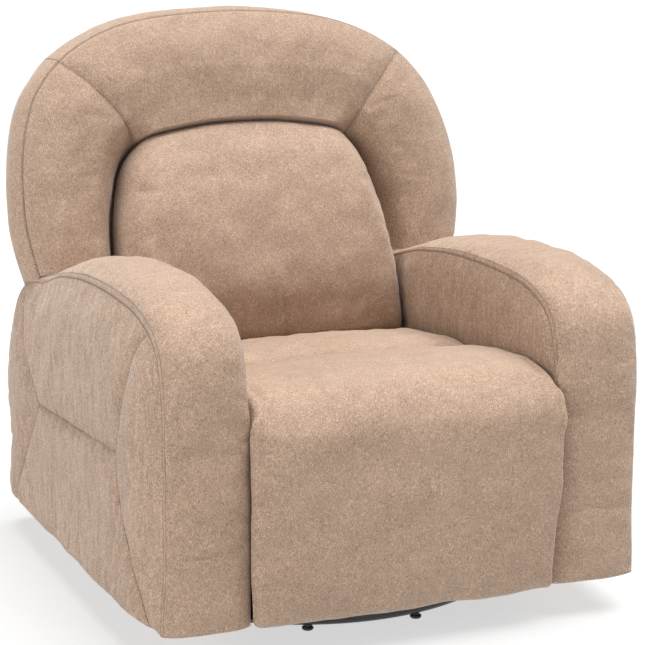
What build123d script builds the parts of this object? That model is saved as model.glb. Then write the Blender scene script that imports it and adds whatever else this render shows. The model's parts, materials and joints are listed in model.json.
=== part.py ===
from build123d import *
import os
from math import sin, cos, tan, radians, degrees, sqrt, atan2, hypot

os.makedirs("parts", exist_ok=True)

# ---------------------------------------------------------------------------
# Swivel recliner, millimetres. +Z up, the chair faces -Y, origin on the floor
# on the swivel axis. "left" and "right" are the sitter's: left is +X.
# ---------------------------------------------------------------------------

# base
RING_R, TUBE_R = 360.0, 12.5          # ring centre line and tube radius
RING_Z = 21.0                          # height of the ring's centre line
BASE_TURN = -5.0                       # how the base stands under the chair, degrees
BAR_X, BAR_W, BAR_H = 97.5, 30.0, 15.0 # two parallel bars across the ring
BAR_Z = 16.0
GLIDE_R = 10.0
GLIDE_ANGLES = [-15.8, 15.8, 90.0, 164.2, 195.8, 270.0]   # from the front

# swivel bearing
PIN_R = 8.0
LOWER_Z = BAR_Z + BAR_H                # underside of the lower plate
PLATE_T = 4.0
BALL_R, BALL_PCR, BALL_N = 4.8, 80.0, 18
UPPER_Z = LOWER_Z + PLATE_T + 10.0     # underside of the upper plate
UPPER_R = 115.0
SPACER_X, SPACER_Y, SPACER_R = 85.0, 60.0, 11.0
RAIL_Z = 70.5                          # underside of the chassis rails
RAIL_H, RAIL_W, RAIL_L = 30.0, 40.0, 520.0
CROSS_Y, CROSS_W = 200.0, 30.0

# body
BOTTOM_Z = 66.0                        # lower edge of the upholstery
ARM_IN, ARM_OUT = 280.0, 434.0         # arm faces, half widths
SEAT_HALF = 270.0
PLATE_IN, PLATE_OUT = 262.0, 266.0     # mechanism side plates

# joints, (y, z)
BACK_H = (250.0, 300.0)                # back hinge
ARM_ARC, BACK_ARC = 236.0, 244.0       # body and back run on arcs about the back hinge
PANEL_TOP, APRON_END = 65.0, 66.0      # upper end of the rear panel and lower end of the apron, degrees
FOOT_C = (-455.0, 415.0)               # footrest hinge
DRIVE_A = (-250.0, 260.0)              # drive shaft
LINK = (20.0, -160.0)                  # crank and bracket throw when closed
FOOT_B = (FOOT_C[0] + LINK[0], FOOT_C[1] + LINK[1])
DRIVE_E = (DRIVE_A[0] + LINK[0], DRIVE_A[1] + LINK[1])
SPRING_EAR = (DRIVE_A[0], DRIVE_A[1] + 40.0)
SPRING_POST = (0.0, 290.0)
LEVER_P = (-38.0, 300.0)               # release lever pivot
LEVER_L = 70.0

# layers of the linkage, half widths
CRANK_IN, CRANK_OUT = 254.0, 258.0
COUP_IN, COUP_OUT = 246.0, 250.0
LINK_PIN_R = 4.0

# back: the seam plane leans back by BACK_TILT and passes through BACK_O
BACK_TILT = degrees(atan2(0.221, 1.0))
BACK_O = (306.0, 700.0)
BACK_FRONT, BACK_REAR = 48.0, -98.0    # front and rear of the rim, from the seam plane
COVER_REAR = -134.0
POST_IN, POST_OUT = 213.0, 243.0
POST_F, POST_R = -51.0, -75.0

ct, st = cos(radians(BACK_TILT)), sin(radians(BACK_TILT))


def back_yz(v, n):
    """(y, z) of a point v up the back and n in front of its seam plane."""
    return (BACK_O[0] + v * st - n * ct, BACK_O[1] + v * ct + n * st)


def arc_yz(r, deg):
    """(y, z) on a circle about the back hinge, degrees from straight up towards the rear."""
    return (BACK_H[0] + r * sin(radians(deg)), BACK_H[1] + r * cos(radians(deg)))


def back_plane(n=0.0):
    y, z = back_yz(0.0, n)
    return Plane(origin=(0, y, z), x_dir=(1, 0, 0), z_dir=(0, -ct, st))


base_xy = Plane(origin=(0, 0, 0),
                x_dir=(cos(radians(BASE_TURN)), sin(radians(BASE_TURN)), 0), z_dir=(0, 0, 1))

# ---------------------------------------------------------------------------
# Base: ring, bars, glides, lower half of the swivel
# ---------------------------------------------------------------------------
with BuildPart(Plane.XY.offset(RING_Z)) as base_ring:
    Torus(RING_R, TUBE_R)
base_ring.part.label = "base_ring"
export_step(base_ring.part, "parts/base_ring.step")

with BuildPart() as base_cross_bars:
    with BuildSketch(base_xy.offset(BAR_Z)) as bars_sk:
        with Locations((-BAR_X, 0), (BAR_X, 0)):
            Rectangle(BAR_W, 2 * RING_R)
    extrude(amount=BAR_H)
    with BuildSketch(base_xy.offset(BAR_Z)) as bars_cut:
        Circle(RING_R + 40)
        Circle(RING_R - TUBE_R - 0.1, mode=Mode.SUBTRACT)
    extrude(amount=BAR_H, mode=Mode.SUBTRACT)
    with BuildSketch(base_xy.offset(LOWER_Z)) as bars_holes:
        with GridLocations(2 * BAR_X, 170, 2, 2):
            Circle(4.1)
    extrude(amount=-BAR_H, mode=Mode.SUBTRACT)
base_cross_bars.part.label = "base_cross_bars"
export_step(base_cross_bars.part, "parts/base_cross_bars.step")

glide_spots = [(RING_R * sin(radians(a)), -RING_R * cos(radians(a))) for a in GLIDE_ANGLES]
with BuildPart() as floor_glides:
    with BuildSketch(base_xy) as glide_sk:
        with Locations(*glide_spots):
            Circle(GLIDE_R)
    extrude(amount=6)
    chamfer(floor_glides.edges().filter_by(GeomType.CIRCLE), 1.6)
    with BuildSketch(base_xy.offset(6)) as glide_neck:
        with Locations(*glide_spots):
            Circle(GLIDE_R - 4)
    extrude(amount=13)
    with Locations((0, 0, RING_Z)):
        Torus(RING_R, TUBE_R + 0.1, mode=Mode.SUBTRACT)
floor_glides.part.label = "floor_glides"
export_step(floor_glides.part, "parts/floor_glides.step")

with BuildPart() as swivel_lower_plate:
    with BuildSketch(base_xy.offset(LOWER_Z)) as lp_sk:
        RectangleRounded(2 * BAR_X + BAR_W, 220, 18)
        Circle(PIN_R + 0.02, mode=Mode.SUBTRACT)
        with GridLocations(2 * BAR_X, 170, 2, 2):
            Circle(4.1, mode=Mode.SUBTRACT)
    extrude(amount=PLATE_T)
swivel_lower_plate.part.label = "swivel_lower_plate"
export_step(swivel_lower_plate.part, "parts/swivel_lower_plate.step")

with BuildPart() as swivel_base_bolts:
    with BuildSketch(base_xy.offset(LOWER_Z + PLATE_T)) as sbb_head:
        with GridLocations(2 * BAR_X, 170, 2, 2):
            RegularPolygon(6.5, 6)
    extrude(amount=5)
    with BuildSketch(base_xy.offset(LOWER_Z + PLATE_T)) as sbb_shank:
        with GridLocations(2 * BAR_X, 170, 2, 2):
            Circle(4)
    extrude(amount=-(PLATE_T + BAR_H - 1))
swivel_base_bolts.part.label = "swivel_base_bolts"
export_step(swivel_base_bolts.part, "parts/swivel_base_bolts.step")

with BuildPart() as swivel_pin:
    with BuildSketch(Plane.XY.offset(LOWER_Z - 7)) as sp_head:
        RegularPolygon(14, 6)
    extrude(amount=7)
    with BuildSketch(Plane.XY.offset(LOWER_Z)) as sp_shank:
        Circle(PIN_R)
    extrude(amount=UPPER_Z + PLATE_T + 1 - LOWER_Z)
    with BuildSketch(Plane.XY.offset(UPPER_Z + PLATE_T + 0.5)) as sp_nut:
        Circle(13)
    extrude(amount=6)
    chamfer(swivel_pin.faces().sort_by(Axis.Z)[-1].edges(), 1.2)
swivel_pin.part.label = "swivel_pin"
export_step(swivel_pin.part, "parts/swivel_pin.step")

ball_z = LOWER_Z + PLATE_T + 5.0
with BuildPart() as swivel_balls:
    with Locations((0, 0, ball_z)):
        with PolarLocations(BALL_PCR, BALL_N):
            Sphere(BALL_R)
swivel_balls.part.label = "swivel_balls"
export_step(swivel_balls.part, "parts/swivel_balls.step")

with BuildPart() as swivel_ball_cage:
    with BuildSketch(Plane.XY.offset(ball_z - 2.2)) as cage_sk:
        Circle(BALL_PCR + 11)
        Circle(BALL_PCR - 11, mode=Mode.SUBTRACT)
        with PolarLocations(BALL_PCR, BALL_N):
            Circle(BALL_R + 0.3, mode=Mode.SUBTRACT)
    extrude(amount=4.4)
swivel_ball_cage.part.label = "swivel_ball_cage"
export_step(swivel_ball_cage.part, "parts/swivel_ball_cage.step")

# ---------------------------------------------------------------------------
# Chair body: upper half of the swivel, chassis, mechanism plates
# ---------------------------------------------------------------------------
with BuildPart() as swivel_upper_plate:
    with BuildSketch(Plane.XY.offset(UPPER_Z)) as up_sk:
        Circle(UPPER_R)
        Circle(PIN_R + 0.06, mode=Mode.SUBTRACT)
        with GridLocations(2 * SPACER_X, 2 * SPACER_Y, 2, 2):
            Circle(4.1, mode=Mode.SUBTRACT)
    extrude(amount=PLATE_T)
swivel_upper_plate.part.label = "swivel_upper_plate"
export_step(swivel_upper_plate.part, "parts/swivel_upper_plate.step")

with BuildPart() as swivel_spacers:
    with BuildSketch(Plane.XY.offset(UPPER_Z + PLATE_T)) as ss_sk:
        with GridLocations(2 * SPACER_X, 2 * SPACER_Y, 2, 2):
            Circle(SPACER_R)
            Circle(4.3, mode=Mode.SUBTRACT)
    extrude(amount=RAIL_Z - UPPER_Z - PLATE_T)
swivel_spacers.part.label = "swivel_spacers"
export_step(swivel_spacers.part, "parts/swivel_spacers.step")

with BuildPart() as rail_bolts:
    with BuildSketch(Plane.XY.offset(UPPER_Z)) as rb_head:
        with GridLocations(2 * SPACER_X, 2 * SPACER_Y, 2, 2):
            RegularPolygon(6.5, 6)
    extrude(amount=-4)
    with BuildSketch(Plane.XY.offset(UPPER_Z)) as rb_shank:
        with GridLocations(2 * SPACER_X, 2 * SPACER_Y, 2, 2):
            Circle(4)
    extrude(amount=RAIL_Z - UPPER_Z + 14)
    with BuildSketch(Plane.XY.offset(RAIL_Z + 2.5)) as rb_nut:
        with GridLocations(2 * SPACER_X, 2 * SPACER_Y, 2, 2):
            RegularPolygon(6.5, 6)
    extrude(amount=6)
rail_bolts.part.label = "rail_bolts"
export_step(rail_bolts.part, "parts/rail_bolts.step")

with BuildPart() as chassis_rails:
    with BuildSketch(Plane.XZ.offset(RAIL_L / 2)) as cr_sk:
        with Locations((-SPACER_X, RAIL_Z + RAIL_H / 2), (SPACER_X, RAIL_Z + RAIL_H / 2)):
            RectangleRounded(RAIL_W, RAIL_H, 4)
            RectangleRounded(RAIL_W - 5, RAIL_H - 5, 1.5, mode=Mode.SUBTRACT)
    extrude(amount=-RAIL_L)
    with BuildSketch(Plane.XY.offset(RAIL_Z - 1)) as cr_holes:
        with GridLocations(2 * SPACER_X, 2 * SPACER_Y, 2, 2):
            Circle(4.1)
    extrude(amount=5, mode=Mode.SUBTRACT)
chassis_rails.part.label = "chassis_rails"
export_step(chassis_rails.part, "parts/chassis_rails.step")

CROSS_Z = RAIL_Z + RAIL_H + CROSS_W / 2
with BuildPart() as front_cross_tube:
    with BuildSketch(Plane.YZ.offset(-PLATE_IN + 0.1)) as fct_sk:
        with Locations((-CROSS_Y, CROSS_Z)):
            RectangleRounded(CROSS_W, CROSS_W, 4)
            RectangleRounded(CROSS_W - 5, CROSS_W - 5, 1.5, mode=Mode.SUBTRACT)
    extrude(amount=2 * PLATE_IN - 0.2)
front_cross_tube.part.label = "front_cross_tube"
export_step(front_cross_tube.part, "parts/front_cross_tube.step")

with BuildPart() as rear_cross_tube:
    with BuildSketch(Plane.YZ.offset(-PLATE_IN + 0.1)) as rct_sk:
        with Locations((CROSS_Y, CROSS_Z)):
            RectangleRounded(CROSS_W, CROSS_W, 4)
            RectangleRounded(CROSS_W - 5, CROSS_W - 5, 1.5, mode=Mode.SUBTRACT)
    extrude(amount=2 * PLATE_IN - 0.2)
rear_cross_tube.part.label = "rear_cross_tube"
export_step(rear_cross_tube.part, "parts/rear_cross_tube.step")

ARM_BOLTS = [(-150.0, 200.0), (90.0, 220.0), (200.0, 230.0)]
plate_pts = [(-235, 101), (-165, 101), (-140, 165), (140, 165), (165, 101), (235, 101), (246, 200),
             (285, 270), (287, 318), (262, 334), (225, 334), (60, 314), (-150, 312), (-330, 342),
             (-446, 428), (-463, 429), (-470, 418), (-468, 404), (-456, 398), (-360, 285), (-300, 190)]
for side, sx in (("left", 1), ("right", -1)):
    with BuildPart() as mechanism_plate:
        with BuildSketch(Plane.YZ.offset(sx * PLATE_IN)) as mp_sk:
            with BuildLine() as mp_ln:
                Polyline(*plate_pts, close=True)
            make_face()
            with Locations((-60, 240), (30, 240), (150, 265)):
                Circle(24, mode=Mode.SUBTRACT)
            with Locations(DRIVE_A):
                Circle(12, mode=Mode.SUBTRACT)
            with Locations(BACK_H, FOOT_C):
                Circle(6.02, mode=Mode.SUBTRACT)
            with Locations(SPRING_POST):
                Circle(3.02, mode=Mode.SUBTRACT)
            with Locations(*ARM_BOLTS):
                Circle(4.1, mode=Mode.SUBTRACT)
            if sx < 0:
                with Locations(LEVER_P):
                    Circle(3.02, mode=Mode.SUBTRACT)
        extrude(amount=sx * (PLATE_OUT - PLATE_IN))
    mechanism_plate.part.label = "mechanism_plate_" + side
    export_step(mechanism_plate.part, "parts/mechanism_plate_" + side + ".step")

# ---------------------------------------------------------------------------
# Arms: plywood frame inside a padded loaf whose rear corner is an arc about the back hinge
# ---------------------------------------------------------------------------
arm_top = [(-474, 470), (-465, 520), (-440, 564), (-395, 596), (-320, 613), (-200, 618), (-60, 611),
           (70, 588), (150, 561), (205, 541), (262, 534.5), arc_yz(ARM_ARC, 20)]
ARM_REAR = (484.0, BACK_H[1] + sqrt(ARM_ARC ** 2 - 234.0 ** 2))
cavity = [(-442, BOTTOM_Z - 5), (-442, 455), (-405, 540), (-330, 572), (-60, 570), (110, 535), (200, 500),
          (330, 478), (398, 430), (436, 370), (460, 320), (460, BOTTOM_Z - 5)]
board = [(-440, 80), (-440, 453), (-403, 537), (-329, 569), (-60, 567), (109, 532), (199, 497),
         (329, 475), (396, 428), (434, 368), (458, 319), (458, 80)]
for side, sx in (("left", 1), ("right", -1)):
    with BuildPart() as arm_pad:
        with BuildSketch(Plane.YZ.offset(sx * ARM_IN)) as ap_sk:
            with BuildLine() as ap_ln:
                Line((-466, BOTTOM_Z), (-474, 470))
                Spline(*arm_top)
                ThreePointArc(arm_top[-1], arc_yz(ARM_ARC, 50), ARM_REAR)
                Polyline(ARM_REAR, (484, BOTTOM_Z), (-466, BOTTOM_Z))
            make_face()
        extrude(amount=sx * (ARM_OUT - ARM_IN))
        with BuildSketch(Plane.YZ.offset(sx * 291)) as ap_cav:
            with BuildLine() as ap_cl:
                Polyline(*cavity, close=True)
            make_face()
        extrude(amount=sx * 126, mode=Mode.SUBTRACT)
        with BuildSketch(Plane.YZ.offset(sx * (ARM_IN - 2))) as ap_holes:
            with Locations(*ARM_BOLTS):
                Circle(9)
        extrude(amount=sx * 16, mode=Mode.SUBTRACT)
    arm_pad.part.label = "arm_pad_" + side
    export_step(arm_pad.part, "parts/arm_pad_" + side + ".step")

    with BuildPart() as arm_frame:
        for x0 in (292, 404):
            with BuildSketch(Plane.YZ.offset(sx * x0)) as af_sk:
                with BuildLine() as af_ln:
                    Polyline(*board, close=True)
                make_face()
                with Locations(*ARM_BOLTS):
                    Circle(4.1, mode=Mode.SUBTRACT)
            extrude(amount=sx * 12)
        with BuildSketch(Plane.YZ.offset(sx * 303)) as af_rails:
            with Locations((-420, 250), (438, 200)):
                Rectangle(28, 240)
            with Locations((-165, 548)):
                Rectangle(240, 24)
            with Locations((0, 95)):
                Rectangle(640, 24)
        extrude(amount=sx * 102)
    arm_frame.part.label = "arm_frame_" + side
    export_step(arm_frame.part, "parts/arm_frame_" + side + ".step")

with BuildPart() as arm_bolts:
    for sx in (1, -1):
        with BuildSketch(Plane.YZ.offset(sx * 259)) as ab_shank:
            with Locations(*ARM_BOLTS):
                Circle(4)
        extrude(amount=sx * 55)
        with BuildSketch(Plane.YZ.offset(sx * PLATE_IN)) as ab_head:
            with Locations(*ARM_BOLTS):
                RegularPolygon(6.5, 6)
        extrude(amount=-sx * 4)
        with BuildSketch(Plane.YZ.offset(sx * PLATE_OUT)) as ab_sleeve:
            with Locations(*ARM_BOLTS):
                Circle(8)
        extrude(amount=sx * 26)
        with BuildSketch(Plane.YZ.offset(sx * 304)) as ab_nut:
            with Locations(*ARM_BOLTS):
                RegularPolygon(7, 6)
        extrude(amount=sx * 7)
arm_bolts.part.label = "arm_bolts"
export_step(arm_bolts.part, "parts/arm_bolts.step")

# ---------------------------------------------------------------------------
# Rear panel between the arms, curved over at the top, and the bottom dust cover
# ---------------------------------------------------------------------------
panel_out = [(484, BOTTOM_Z), (484, BACK_H[1] + sqrt(ARM_ARC ** 2 - 234.0 ** 2))]
panel_in = [(468, BACK_H[1] + sqrt(220.0 ** 2 - 218.0 ** 2)), (468, BOTTOM_Z)]
with BuildPart() as rear_panel:
    with BuildSketch(Plane.YZ.offset(-278.5)) as rp_sk:
        with BuildLine() as rp_ln:
            Line(panel_out[0], panel_out[1])
            ThreePointArc(panel_out[1], arc_yz(ARM_ARC, 75), arc_yz(ARM_ARC, PANEL_TOP))
            Line(arc_yz(ARM_ARC, PANEL_TOP), arc_yz(220, PANEL_TOP))
            ThreePointArc(arc_yz(220, PANEL_TOP), arc_yz(220, 75), panel_in[0])
            Line(panel_in[0], panel_in[1])
            Line(panel_in[1], panel_out[0])
        make_face()
    extrude(amount=557)
rear_panel.part.label = "rear_panel"
export_step(rear_panel.part, "parts/rear_panel.step")

with BuildPart() as dust_cover:
    with BuildSketch(Plane.XY.offset(BOTTOM_Z)) as dc_sk:
        with Locations((0, 20.5)):
            Rectangle(556, 893)
        with GridLocations(2 * SPACER_X, 2 * SPACER_Y, 2, 2):
            Circle(SPACER_R + 0.5, mode=Mode.SUBTRACT)
    extrude(amount=1.5)
dust_cover.part.label = "dust_cover"
export_step(dust_cover.part, "parts/dust_cover.step")

# ---------------------------------------------------------------------------
# Seat: rails, springs, cushion, front pad and the foam that bridges to the footrest
# ---------------------------------------------------------------------------
SEAT_Z, SEAT_RH = 346.0, 24.0          # top and depth of the seat rails
with BuildPart() as seat_side_rails:
    with BuildSketch(Plane.XY.offset(SEAT_Z - SEAT_RH)) as ssr_sk:
        with Locations((-249, -120), (249, -120)):
            Rectangle(25.4, 560)
    extrude(amount=SEAT_RH)
seat_side_rails.part.label = "seat_side_rails"
export_step(seat_side_rails.part, "parts/seat_side_rails.step")

with BuildPart() as seat_cross_rails:
    with BuildSketch(Plane.XY.offset(SEAT_Z - SEAT_RH)) as scr_sk:
        with Locations((0, -389), (0, 149)):
            Rectangle(472, 22)
    extrude(amount=SEAT_RH)
seat_cross_rails.part.label = "seat_cross_rails"
export_step(seat_cross_rails.part, "parts/seat_cross_rails.step")

WIRE_R = 1.8
with BuildPart() as seat_springs:
    for xc in (-168, -84, 0, 84, 168):
        pts, n = [], 22
        for i in range(n + 1):
            pts.append((xc + (20 if i % 2 else -20), -392 + i * 543.0 / n, SEAT_Z + WIRE_R + 0.2))
        with BuildLine() as ss_path:
            FilletPolyline(*pts, radius=9)
        with BuildSketch(Plane(origin=ss_path.line @ 0, z_dir=ss_path.line % 0)) as ss_wire:
            Circle(WIRE_R)
        sweep(sections=ss_wire.sketch, path=ss_path.line)
seat_springs.part.label = "seat_springs"
export_step(seat_springs.part, "parts/seat_springs.step")

with BuildPart() as seat_cushion:
    with BuildSketch(Plane.YZ.offset(-SEAT_HALF)) as sc_sk:
        with BuildLine() as sc_ln:
            Polyline((-168, 352), (-168, 425), (60, 407), (112, 400), (148, 388), (148, 352), close=True)
        make_face()
    extrude(amount=2 * SEAT_HALF)
seat_cushion.part.label = "seat_cushion"
export_step(seat_cushion.part, "parts/seat_cushion.step")

with BuildPart() as seat_front_pad:
    with BuildSketch(Plane.YZ.offset(-SEAT_HALF)) as sfp_sk:
        with BuildLine() as sfp_ln:
            Polyline((-171, 352), (-171, 425), (-225, 440), (-300, 453), (-380, 459), (-453, 460),
                     (-453, 422), (-413, 422), (-405, 352), close=True)
        make_face()
    extrude(amount=2 * SEAT_HALF)
    with BuildSketch(Plane.XY.offset(300)) as sfp_cut:
        with Locations((-270, -355), (270, -355)):
            Rectangle(54, 250)
    extrude(amount=146, mode=Mode.SUBTRACT)
seat_front_pad.part.label = "seat_front_pad"
export_step(seat_front_pad.part, "parts/seat_front_pad.step")

with BuildPart() as chaise_bridge:
    with BuildSketch(Plane.YZ.offset(-SEAT_HALF)) as cb_sk:
        with BuildLine() as cb_ln:
            Line((FOOT_C[0] + 1, FOOT_C[1] + 45), (FOOT_C[0], FOOT_C[1] + 45))
            ThreePointArc((FOOT_C[0], FOOT_C[1] + 45),
                          (FOOT_C[0] - 45 * sin(radians(45)), FOOT_C[1] + 45 * cos(radians(45))),
                          (FOOT_C[0] - 45, FOOT_C[1]))
            Polyline((FOOT_C[0] - 45, FOOT_C[1]), (FOOT_C[0] - 45, FOOT_C[1] - 3),
                     (FOOT_C[0] + 1, FOOT_C[1] - 3), (FOOT_C[0] + 1, FOOT_C[1] + 45))
        make_face()
    extrude(amount=2 * SEAT_HALF)
    with BuildSketch(Plane.XY.offset(FOOT_C[1] - 10)) as cb_cut:
        with Locations((-262, FOOT_C[0] + 12), (262, FOOT_C[0] + 12)):
            Rectangle(26, 62)
    extrude(amount=30, mode=Mode.SUBTRACT)
chaise_bridge.part.label = "chaise_bridge"
export_step(chaise_bridge.part, "parts/chaise_bridge.step")

# ---------------------------------------------------------------------------
# Pins, bushes and posts fixed to the mechanism plates
# ---------------------------------------------------------------------------
with BuildPart() as back_hinge_pins:
    for sx in (1, -1):
        with BuildSketch(Plane.YZ.offset(sx * 244.5)) as bhp_sk:
            with Locations(BACK_H):
                Circle(6)
        extrude(amount=sx * 23.5)
        with BuildSketch(Plane.YZ.offset(sx * 250.5)) as bhp_col:
            with Locations(BACK_H):
                Circle(11)
        extrude(amount=sx * 11.4)
        with BuildSketch(Plane.YZ.offset(sx * PLATE_OUT)) as bhp_head:
            with Locations(BACK_H):
                Circle(10)
        extrude(amount=sx * 4)
back_hinge_pins.part.label = "back_hinge_pins"
export_step(back_hinge_pins.part, "parts/back_hinge_pins.step")

with BuildPart() as footrest_hinge_pins:
    for sx in (1, -1):
        with BuildSketch(Plane.YZ.offset(sx * 252)) as fhp_sk:
            with Locations(FOOT_C):
                Circle(6)
        extrude(amount=sx * 14)
        with BuildSketch(Plane.YZ.offset(sx * 258.5)) as fhp_col:
            with Locations(FOOT_C):
                Circle(9)
        extrude(amount=sx * 3.4)
        with BuildSketch(Plane.YZ.offset(sx * PLATE_OUT)) as fhp_head:
            with Locations(FOOT_C):
                Circle(9)
        extrude(amount=sx * 2.5)
footrest_hinge_pins.part.label = "footrest_hinge_pins"
export_step(footrest_hinge_pins.part, "parts/footrest_hinge_pins.step")

with BuildPart() as shaft_bushes:
    for sx in (1, -1):
        with BuildSketch(Plane.YZ.offset(sx * 259)) as sb_fl:
            with Locations(DRIVE_A):
                Circle(15)
                Circle(8.05, mode=Mode.SUBTRACT)
        extrude(amount=sx * 2.9)
        with BuildSketch(Plane.YZ.offset(sx * 259)) as sb_body:
            with Locations(DRIVE_A):
                Circle(11.95)
                Circle(8.05, mode=Mode.SUBTRACT)
        extrude(amount=sx * 8)
shaft_bushes.part.label = "shaft_bushes"
export_step(shaft_bushes.part, "parts/shaft_bushes.step")

with BuildPart() as plate_posts:
    for sx in (1, -1):
        with BuildSketch(Plane.YZ.offset(sx * 231)) as spo_sk:
            with Locations(SPRING_POST):
                Circle(3)
        extrude(amount=sx * 35)
        with BuildSketch(Plane.YZ.offset(sx * 259)) as spo_col:
            with Locations(SPRING_POST):
                Circle(7)
        extrude(amount=sx * 2.9)
    with BuildSketch(Plane.YZ.offset(-PLATE_IN)) as rlp_sk:
        with Locations(LEVER_P):
            Circle(3)
    extrude(amount=-9.5)
    with BuildSketch(Plane.YZ.offset(-271.5)) as rlp_head:
        with Locations(LEVER_P):
            Circle(6)
    extrude(amount=-2)
plate_posts.part.label = "plate_posts"
export_step(plate_posts.part, "parts/plate_posts.step")

# extension springs: close-wound coils shown as a ridged sleeve, with an eye at each end
SPRING_X = 238.0
with BuildPart() as footrest_springs:
    for sx in (1, -1):
        y0, y1 = SPRING_EAR[0] + 9.0, SPRING_POST[0] - 9.0
        z0, z1 = SPRING_EAR[1], SPRING_POST[1]
        length = hypot(y1 - y0, z1 - z0)
        ax = Plane(origin=(sx * SPRING_X, y0, z0), x_dir=(1, 0, 0), z_dir=(0, y1 - y0, z1 - z0))
        ridges = [(0.0, 0.0)]
        n = 56
        for i in range(n):
            ridges.append((5.6, length * i / n))
            ridges.append((6.8, length * (i + 0.5) / n))
        ridges.append((5.6, length))
        ridges.append((0.0, length))
        with BuildSketch(Plane(origin=ax.origin, x_dir=ax.x_dir, z_dir=-ax.y_dir)) as fs_sk:
            with BuildLine() as fs_ln:
                Polyline(*ridges, close=True)
            make_face()
        revolve(axis=Axis(ax.origin, ax.z_dir))
        for spot, push in ((SPRING_EAR, 1), (SPRING_POST, -1)):
            with BuildSketch(Plane.YZ.offset(sx * SPRING_X - 1.3)) as fs_eye:
                with Locations(spot):
                    Circle(6.4)
                    Circle(3.6, mode=Mode.SUBTRACT)
                with Locations((spot[0] + push * 7.6, spot[1])):
                    Rectangle(6.4, 2.6)
            extrude(amount=2.6)
footrest_springs.part.label = "footrest_springs"
export_step(footrest_springs.part, "parts/footrest_springs.step")

# ---------------------------------------------------------------------------
# Footrest: board, pad, hinge brackets
# ---------------------------------------------------------------------------
with BuildPart() as footrest_board:
    with BuildSketch(Plane.XZ.offset(445)) as fb_sk:
        with Locations((0, 241)):
            RectangleRounded(476, 302, 12)
    extrude(amount=-15)
    with BuildSketch(Plane.XZ.offset(441.2)) as fb_holes:
        with Locations(*[(sx * 220, z) for sx in (1, -1) for z in (145, 205)]):
            Circle(3.05)
    extrude(amount=-20, mode=Mode.SUBTRACT)
footrest_board.part.label = "footrest_board"
export_step(footrest_board.part, "parts/footrest_board.step")

with BuildPart() as footrest_pad:
    with BuildSketch(Plane.YZ.offset(-272)) as fp_sk:
        with BuildLine() as fp_ln:
            Polyline((-446, 66), (-446, 411), (-500, 411), (-502, 300), (-496, 120), (-482, 66), close=True)
        make_face()
    extrude(amount=544)
    with BuildSketch(Plane.XY.offset(238)) as fp_cut:
        with Locations((-262, -456), (262, -456)):
            Rectangle(24, 32)
    extrude(amount=200, mode=Mode.SUBTRACT)
footrest_pad.part.label = "footrest_pad"
export_step(footrest_pad.part, "parts/footrest_pad.step")

for side, sx in (("left", 1), ("right", -1)):
    with BuildPart() as footrest_bracket:
        with BuildSketch(Plane.YZ.offset(sx * CRANK_IN)) as fbr_sk:
            with BuildLine() as fbr_ln:
                Polyline((-467, 413), (-443, 416), (-424, 257), (-424, 120), (-430, 120), (-445, 252), close=True)
            make_face()
            with Locations(FOOT_C):
                Circle(13)
            with Locations(FOOT_B):
                Circle(11)
            with Locations(FOOT_C):
                Circle(6.05, mode=Mode.SUBTRACT)
            with Locations(FOOT_B):
                Circle(LINK_PIN_R + 0.02, mode=Mode.SUBTRACT)
        extrude(amount=sx * (CRANK_OUT - CRANK_IN))
        with BuildSketch(Plane.XZ.offset(429.9)) as fbr_fl:
            with Locations((sx * 231, 175)):
                Rectangle(54, 110)
            with Locations((sx * 220, 145), (sx * 220, 205)):
                Circle(3.1, mode=Mode.SUBTRACT)
        extrude(amount=-4)
    footrest_bracket.part.label = "footrest_bracket_" + side
    export_step(footrest_bracket.part, "parts/footrest_bracket_" + side + ".step")

with BuildPart() as footrest_link_pins:
    for sx in (1, -1):
        with BuildSketch(Plane.YZ.offset(sx * 242)) as flp_sk:
            with Locations(FOOT_B):
                Circle(LINK_PIN_R)
        extrude(amount=sx * 16)
        with BuildSketch(Plane.YZ.offset(sx * 241)) as flp_head:
            with Locations(FOOT_B):
                Circle(7)
        extrude(amount=sx * 4)
footrest_link_pins.part.label = "footrest_link_pins"
export_step(footrest_link_pins.part, "parts/footrest_link_pins.step")

screw_spots = [(sx * 220, z) for sx in (1, -1) for z in (145, 205)]
with BuildPart() as footrest_screws:
    with BuildSketch(Plane.XZ.offset(441)) as fsc_sk:
        with Locations(*screw_spots):
            Circle(3)
    extrude(amount=-16)
    with BuildSketch(Plane.XZ.offset(425.8)) as fsc_head:
        with Locations(*screw_spots):
            Circle(6)
    extrude(amount=-3)
footrest_screws.part.label = "footrest_screws"
export_step(footrest_screws.part, "parts/footrest_screws.step")

# ---------------------------------------------------------------------------
# Footrest drive: shaft, cranks, coupler links
# ---------------------------------------------------------------------------
with BuildPart() as drive_shaft:
    with BuildSketch(Plane.YZ.offset(-268)) as ds_sk:
        with Locations(DRIVE_A):
            Circle(8)
            Circle(6, mode=Mode.SUBTRACT)
    extrude(amount=536)
drive_shaft.part.label = "drive_shaft"
export_step(drive_shaft.part, "parts/drive_shaft.step")

for side, sx in (("left", 1), ("right", -1)):
    with BuildPart() as crank:
        with BuildSketch(Plane.YZ.offset(sx * CRANK_IN)) as ck_sk:
            with BuildLine() as ck_ln:
                Polyline((-264, 258), (-260, 300), (-240, 300), (-236, 262), (-219, 101), (-241, 99), close=True)
            make_face()
            with Locations(DRIVE_A):
                Circle(15)
            with Locations(DRIVE_E):
                Circle(11)
            with Locations(SPRING_EAR):
                Circle(10)
            with Locations(DRIVE_A):
                Circle(8.02, mode=Mode.SUBTRACT)
            with Locations(DRIVE_E):
                Circle(LINK_PIN_R + 0.02, mode=Mode.SUBTRACT)
            with Locations(SPRING_EAR):
                Circle(3.02, mode=Mode.SUBTRACT)
        extrude(amount=sx * (CRANK_OUT - CRANK_IN))
    crank.part.label = "crank_" + side
    export_step(crank.part, "parts/crank_" + side + ".step")

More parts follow.
